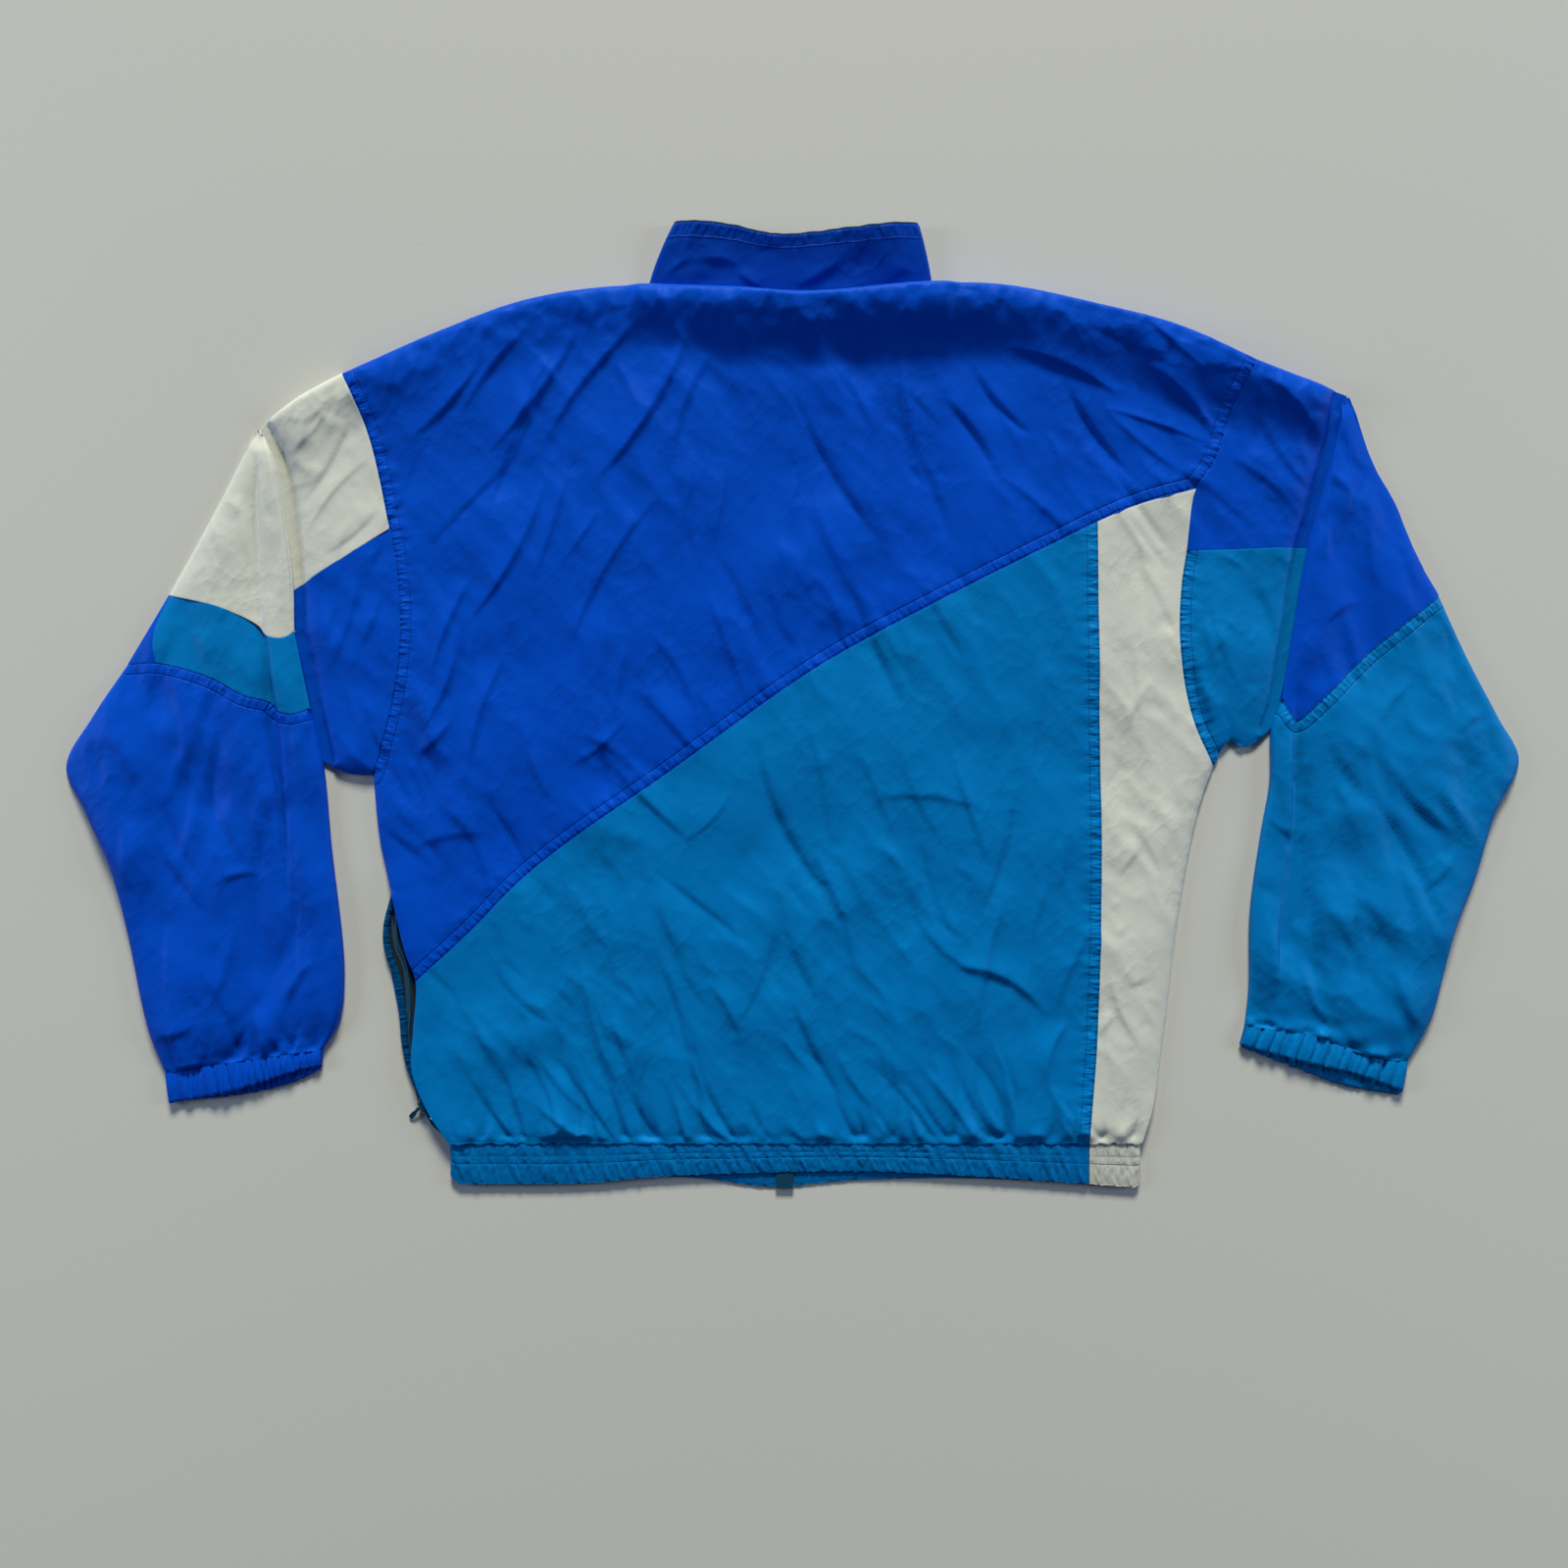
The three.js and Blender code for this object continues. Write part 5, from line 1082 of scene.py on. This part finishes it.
def buildCollar():
    # A strip from the zip round the neck and back. Share v runs from its seam to its top edge; the outer layer
    # turns over the top edge into the inner one. Each row is worked out for one v. Gives the lip's back part.
    f, c = collarForm, clothForm
    zipEdge = 9.3
    a = np.radians(np.linspace(-80, 80, 13))
    outer, inner, behind = [], [], None
    for v in np.linspace(0, 1, 30):
        left, right = -109.5 + 20.5 * v**1.5, 106.5 - 11 * v**1.5
        high = f["low"] + f["wall"] + 0.5 + f["rise"] * v
        radius = (high - f["low"]) / 2
        frontLeft = np.linspace(zipLine["x"] - zipEdge, left + radius, 40)
        back = np.linspace(left + radius, right - radius, 170)
        frontRight = np.linspace(right - radius, zipLine["x"] + zipEdge, 40)

        def front(x):
            y = frontNeck(x) + 0.3 + (frontCollarTop(x) - frontNeck(x) - 0.3) * v
            return np.stack([x, y, np.full(x.shape, f["low"]), 0 * x, 0 * x - 1], axis=1)

        def turn(x, side, order):
            px = x + side * radius * np.cos(a)
            y = c["neckY"] + (levelOf(f["top"], px) - c["neckY"]) * v
            return np.stack([px, y, (f["low"] + high) / 2 + radius * np.sin(a), side * np.cos(a), np.sin(a)],
                            axis=1)[::order]

        y = c["neckY"] + (levelOf(f["top"], back) - c["neckY"]) * v + 0.6 * softNoise(back, 0 * back, 9, 171) * v
        crush = 0.7 * crumpleHeight(back, y, 161, 15) + creaseHeight(f["creases"], back, y)
        z = high - 1.6 * v * np.cos((back / 95) * np.pi * 1.4) + f["stand"] * v**2 + crush * (0.35 + 0.65 * (1 - v))
        ends = np.minimum(1, np.minimum(back - back[0], back[-1] - back) / 14)
        z = high + (z - high) * ends
        middle = np.stack([back, y, z, 0 * back, 0 * back + 1], axis=1)
        path = np.vstack([front(frontLeft), turn(left + radius, -1, 1), middle, turn(right - radius, 1, -1),
                          front(frontRight)])
        lean = np.stack([path[:, 3], 0 * path[:, 3], path[:, 4]], axis=1) * f["wall"] / 2
        outer.append(path[:, :3] + lean)
        inner.append(path[:, :3] - lean)
        behind = slice(len(frontLeft) + 2, len(path) - len(frontRight) - 2)
    lip = (outer[-1] + inner[-1]) / 2 + [0, 0.9, 0]
    sheet = np.array(outer + [lip] + inner[::-1])
    sheet[..., 2] = np.maximum(sheet[..., 2], 0.2)
    count = len(outer)
    depth = np.linspace(50, 0, count)
    depth = np.concatenate([depth, [0], depth[::-1]])[:, None] + 0 * sheet[..., 0]
    runs = np.concatenate([[0], np.cumsum(np.hypot(*np.diff(outer[-1][:, :2], axis=0).T))])[None] + 0 * depth
    # The collar's darker cloth is painted shade.
    addPiece("collar_cloth", sheet.reshape(-1, 3), gridFaces(*sheet.shape[:2])[:, ::-1], collarClothPaintedShade,
             {"seamDistance": depth, "seamRun": runs}, ("collar",))
    return lip[behind]


def addCord(name, line, radius, material, flatten=1.0, sides=8):
    # A tube along a line of points: a ring of sides points across each, radius wide, flatten times as high.
    step = np.gradient(line, axis=0)
    step /= np.linalg.norm(step, axis=1)[:, None]
    across = np.cross(step, [0, 0, 1.0])
    across /= np.linalg.norm(across, axis=1)[:, None]
    turn = np.linspace(0, 2 * np.pi, sides, endpoint=False)[None, :, None]
    wide = np.broadcast_to(np.asarray(radius, float), (len(line),))[:, None, None]
    ring = line[:, None] + across[:, None] * wide * np.cos(turn)
    ring = ring + np.array([0, 0, flatten]) * wide * np.sin(turn)
    ring[..., 2] = np.maximum(ring[..., 2], 0.2)
    count = len(line)
    ends = np.array([[line[0]], [line[-1]]]).reshape(-1, 3)
    points = np.vstack([ring.reshape(-1, 3), ends])
    around = np.arange(sides)
    nextOne = (around + 1) % sides
    last = (count - 1) * sides
    caps = [[b, a, count * sides] for a, b in zip(around, nextOne)]
    caps += [[last + a, last + b, count * sides + 1] for a, b in zip(around, nextOne)]
    faces = gridFaces(count, sides, True)[:, ::-1].tolist() + [f[::-1] for f in caps]
    run = np.concatenate([[0], np.cumsum(np.linalg.norm(np.diff(line, axis=0), axis=1))])
    run = np.concatenate([np.repeat(run, sides), [0, run[-1]]])
    addPiece(name, points, faces, material, {"seamDistance": 0 * run + 5, "seamRun": run})


def densely(line, step):
    size = np.concatenate([[0], np.cumsum(np.linalg.norm(np.diff(line, axis=0), axis=1))])
    at = np.arange(0, size[-1], step)
    return np.stack([np.interp(at, size, line[:, k]) for k in range(3)], axis=1)


collarLip = densely(buildCollar(), 2.0) + [0, 0.2, 0.3]
addCord("collar_edge_binding", collarLip, collarForm["piping"], zipCloth)
print("collar made")

# Pocket
pocketForm = {
    "lipWidth": 2.9, "lipHeight": 0.62, "lipLevel": 2.7, "coilLevel": 3.0, "coilRadius": 0.95, "coilPitch": 1.5,
    "outer": [(-303, -139), (-309.6, -166.4), (-308.8, -183.7), (-301.8, -205.5), (-297.9, -230.5),
              (-295.6, -255.5), (-291.6, -274.2), (-284.6, -291.4), (-273.7, -314.9), (-266, -323)],
    "coil": [(-300, -158), (-298, -180), (-291.6, -196), (-289, -227.4), (-290, -250.7), (-285, -275),
             (-279.6, -300)],
}


def buildPocket():
    f = pocketForm
    edge = evenly(f["outer"], 150)
    step = np.gradient(edge, axis=0)
    step /= np.hypot(*step.T)[:, None]
    inwards = np.stack([-step[:, 1], step[:, 0]], axis=1)
    share = np.linspace(0, 1, len(edge))
    width = f["lipWidth"] * (0.45 + 0.55 * np.sin(np.pi * np.clip(share * 1.1, 0, 1)) ** 0.5)
    run = share * 200
    width = width * (1 + 0.16 * softNoise(run, 0 * run, 3.2, 501) + 0.1 * softNoise(run, 0 * run, 1.8, 502))
    middle = edge + inwards * width[:, None] * 0.98
    level = f["lipLevel"] + 0.5 * softNoise(run, 0 * run, 4.0, 503)
    addCord("pocket_lip_cloth", np.column_stack([middle, level]), width, lipCloth,
            f["lipHeight"], 14)
    coil = densely(np.column_stack([evenly(f["coil"], 80), np.full(81, f["coilLevel"])]), f["coilPitch"] / 3)
    ridges = f["coilRadius"] * (1 + 0.28 * np.cos(np.arange(len(coil)) * 2 * np.pi / 3))
    addCord("pocket_zip_coil", coil, ridges, zipPlastic, 0.8)

    def strip(node, line, first, last, level, material, count=8):
        # A flat strip beside a line, from one distance inwards of it to another.
        path = evenly(line, 60)
        ahead = np.gradient(path, axis=0)
        ahead /= np.hypot(*ahead.T)[:, None]
        side = np.stack([-ahead[:, 1], ahead[:, 0]], axis=1)
        d = np.linspace(first, last, count)[None, :, None]
        ends = np.clip(np.minimum(np.arange(61), 60 - np.arange(61)) / 8, 0.15, 1)[:, None, None]
        xy = path[:, None] + side[:, None] * (first + (d - first) * ends)
        z = np.full(xy.shape[:2], level)
        points = np.dstack([xy, z]).reshape(-1, 3)
        addPiece(node + "_cloth", points, facingUp(points, gridFaces(61, count)), material,
                 {"seamDistance": 30 + 0 * z, "seamRun": 0 * z}, (node,))

    strip("pocket_zip_tape_front", f["coil"], -3.5, 1.5, 2.5, zipCloth)
    strip("pocket_zip_tape_back", outlines["pocketBack"][1:][::-1], -1.2, 4, 2.9, zipCloth)
    # The bag's near-black strip paints the shade in the pocket's gap.
    strip("pocket_bag", f["outer"][:-1], 4.0, 62, 2.1, pocketBagPaintedShade, 12)
    stop = np.array([(-273.6, -310.6, 3.6), (-272.8, -311.6, 4.0), (-271.8, -312.6, 3.6)])
    addCord("pocket_zip_stop", stop, 0.8, bareMetal, 0.8)


lipCloth = nylonTaffeta("teal taffeta of the pocket's edge", "#025C94", "#024E80", "#023A60", "#5CB4F0",
                        (5.0,), 1.3)
bareMetal = fineMaterial("nickel-plated brass stop", "#C9CED2", "#B6BCC2", 0.25, 1.0, 0.03, 1.0)
buildPocket()
print("pocket made")

# Front
frontForm = {"level": 0.8, "wrinkle": 0.42, "inset": 1.2, "cell": 4.5}


def flatSheet(node, grid, colour, seam, seed):
    # The front lies on the floor: level, with wrinkles that are pressed flat. Its rim is drawn in by inset.
    f = frontForm
    g = grid.copy()
    for lineOf, other in ((g[0], g[1]), (g[-1], g[-2]), (g[:, 0], g[:, 1]), (g[:, -1], g[:, -2])):
        step = other - lineOf
        lineOf += f["inset"] * step / np.maximum(np.hypot(step[:, 0], step[:, 1]), 1e-6)[:, None]
    x, y = g[..., 0], g[..., 1]
    z = f["level"] + f["wrinkle"] * np.clip(0.5 * crumpleHeight(x, y, seed), -1, 1)
    points = np.dstack([g, z]).reshape(-1, 3)
    faces = facingUp(points, gridFaces(*z.shape))[:, ::-1]
    addPiece(node + "_cloth", points, faces, fabrics[colour], seamAttributes(g, [seam]),
             (node,))


def buildFronts():
    # Both fronts, and the lower layers of the upper sleeves.
    f = frontForm
    zipEdge = 9.0
    leftSide = joined(evenly(outlines["pocketLip"], 60), evenly(outlines["sideLeft"], 20), holeLeft)
    rightSide = joined(evenly(outlines["sideRight"], 60), holeRight)
    for side, start, outer, node in ((-1, -259, leftSide, "front_left"), (1, 265, rightSide, "front_right")):
        inner = zipLine["x"] + side * zipEdge
        across = shoulder if side < 0 else shoulder[::-1]
        across = across[across[:, 0] * side > clothForm["neckHalf"] + 4]
        neckX = np.linspace(side * clothForm["neckHalf"], inner, 30)
        top = resampled(np.vstack([across, np.stack([neckX, frontNeck(neckX)], axis=1)]), int(290 / f["cell"]))
        rows = int(620 / f["cell"])
        hem = evenly([(start, hemY), (inner, hemY)], int(290 / f["cell"]))
        zipSide = evenly([(inner, hemY), (inner, float(frontNeck(np.array(inner))))], rows)
        grid = patch(hem, top, resampled(outer, rows), zipSide)
        flatSheet(node, grid, "teal", zipSide, 601)
    for side, cut, hole in (("sleeve_left", sleeveLeft, holeLeft), ("sleeve_right", sleeveRight, holeRight)):
        seam = evenly(cut["lowerSeam"], 40)
        step = np.array([seam[-1], cut["underArm"][0]], float)
        bottom = resampled(joined(seam, step, evenly(cut["underArm"], 12)), 44)
        outerLine = evenly(cut["outer"], 20)
        if seam[0, 1] < outerLine[0, 1] - 1:
            outerLine = np.vstack([seam[:1], outerLine])
        rows = int(250 / f["cell"])
        grid = patch(bottom, evenly(cut["top"], 44), resampled(outerLine, rows), resampled(hole, rows))
        flatSheet(side + "_front", grid, "royal", seam, 611)


buildFronts()
print("front made")


# Zip and hard parts
teeth = {"pitch": 2.6, "width": 2.5, "length": 1.5, "height": 1.9}


def buildTeeth():
    # Two rows of moulded teeth, one each side of the zip's middle, half a pitch apart: each is a small block.
    y = np.arange(-350.0, zipLine["sliderY"] - 2, teeth["pitch"])
    unit = np.array([(i, j, k) for k in (0, 1) for j in (-0.5, 0.5) for i in (0, 1)], float)
    blocks = []
    for side in (-1, 1):
        corners = unit * [teeth["width"], teeth["length"], teeth["height"]]
        rise = 1.3 * smooth((y - (zipLine["sliderY"] - 39)) / 18)
        at = np.stack([np.full(y.shape, zipLine["x"]), y + (side > 0) * teeth["pitch"] / 2, 0.25 + rise], axis=1)
        blocks.append(at[:, None] + corners[None] * [side, 1, 1] - [side * 0.7, 0, 0])
    points = np.concatenate(blocks)
    box = np.array([(0, 2, 3, 1), (4, 5, 7, 6), (0, 1, 5, 4), (2, 6, 7, 3), (0, 4, 6, 2), (1, 3, 7, 5)])
    faces = (np.arange(len(points))[:, None, None] * 8 + box[None]).reshape(-1, 4)
    flipped = np.arange(len(points)) < len(blocks[0])
    faces[np.repeat(flipped, 6)] = faces[np.repeat(flipped, 6)][:, ::-1]
    piece = addPiece("front_zip_teeth", points.reshape(-1, 3), faces, zipPlastic, {},
                     ("front_zip_chain",))
    piece.data.shade_flat()


buildTeeth()
for node, material in (("front_zip_tape_left", zipCloth), ("front_zip_tape_right", zipCloth),
                       ("front_zip_slider", sliderMetal), ("front_zip_bottom_box", zipPlastic),
                       ("front_zip_tab", sliderMetal), ("pocket_slider", sliderMetal),
                       ("pocket_pull_tab", sliderMetal)):
    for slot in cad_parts[node].material_slots:
        slot.material = material
print("zip and hard parts made")

# Stage
view = {"height": 1.285, "across": 1183.0, "middle": (-7.0, -58.0)}
lamps = {  # place in metres, width and height of the panel, watts, colour
    "window": ((0.2, 14.0, 6.4), (5.2, 3.0), 3330, "#FFFBF0"),
    "left": ((-3.0, 0.4, 1.15), (1.0, 1.0), 34, "#CCDDFF"),
    "right": ((3.0, 0.4, 1.15), (1.0, 1.0), 32, "#CCDDFF"),
}


def buildStage():
    floorMaterial, tree = newMaterial("painted board floor")
    place = addNode(tree, "ShaderNodeTexCoord")
    grain = addNode(tree, "ShaderNodeTexNoise", {"Scale": 1 / (2.2 * mm), "Detail": 2.0},
                    {"Vector": place.outputs["Object"]})
    bump = addNode(tree, "ShaderNodeBump", {"Strength": 0.25, "Distance": 0.2 * mm},
                   {"Height": grain.outputs["Fac"]})
    surface = addNode(tree, "ShaderNodeBsdfPrincipled", {"Base Color": linearColour("#C9CABF"), "Roughness": 0.55,
                      "Specular IOR Level": 0.3}, {"Normal": bump.outputs[0]})
    addNode(tree, "ShaderNodeOutputMaterial", None, {"Surface": surface.outputs[0]})
    mesh = bpy.data.meshes.new("floor")
    mesh.from_pydata([(-6, -6, 0), (6, -6, 0), (6, 6, 0), (-6, 6, 0)], [], [(0, 1, 2, 3)])
    mesh.materials.append(floorMaterial)
    floor = bpy.data.objects.new("floor", mesh)
    bpy.context.scene.collection.objects.link(floor)

    camera = bpy.data.cameras.new("camera")
    camera.sensor_fit = "HORIZONTAL"
    camera.angle = 2 * math.atan(view["across"] / 2 * mm / (view["height"] - 0.008))
    eye = bpy.data.objects.new("camera", camera)
    eye.location = (view["middle"][0] * mm, view["middle"][1] * mm, view["height"])
    bpy.context.scene.collection.objects.link(eye)
    bpy.context.scene.camera = eye

    for name, (place, size, watts, colour) in lamps.items():
        data = bpy.data.lights.new(name, "AREA")
        data.shape = "RECTANGLE"
        data.size, data.size_y = size
        data.energy = watts
        data.color = linearColour(colour)[:3]
        lamp = bpy.data.objects.new(name, data)
        lamp.location = place
        lamp.rotation_euler = Vector([-p for p in place]).to_track_quat("-Z", "Y").to_euler()
        bpy.context.scene.collection.objects.link(lamp)
    world = bpy.data.worlds.new("room")
    world.use_nodes = True
    world.node_tree.nodes["Background"].inputs[0].default_value = linearColour("#B8D0FF")
    world.node_tree.nodes["Background"].inputs[1].default_value = 0.08
    bpy.context.scene.world = world
    bpy.context.scene.view_settings.view_transform = "Standard"


buildStage()
print("stage made")
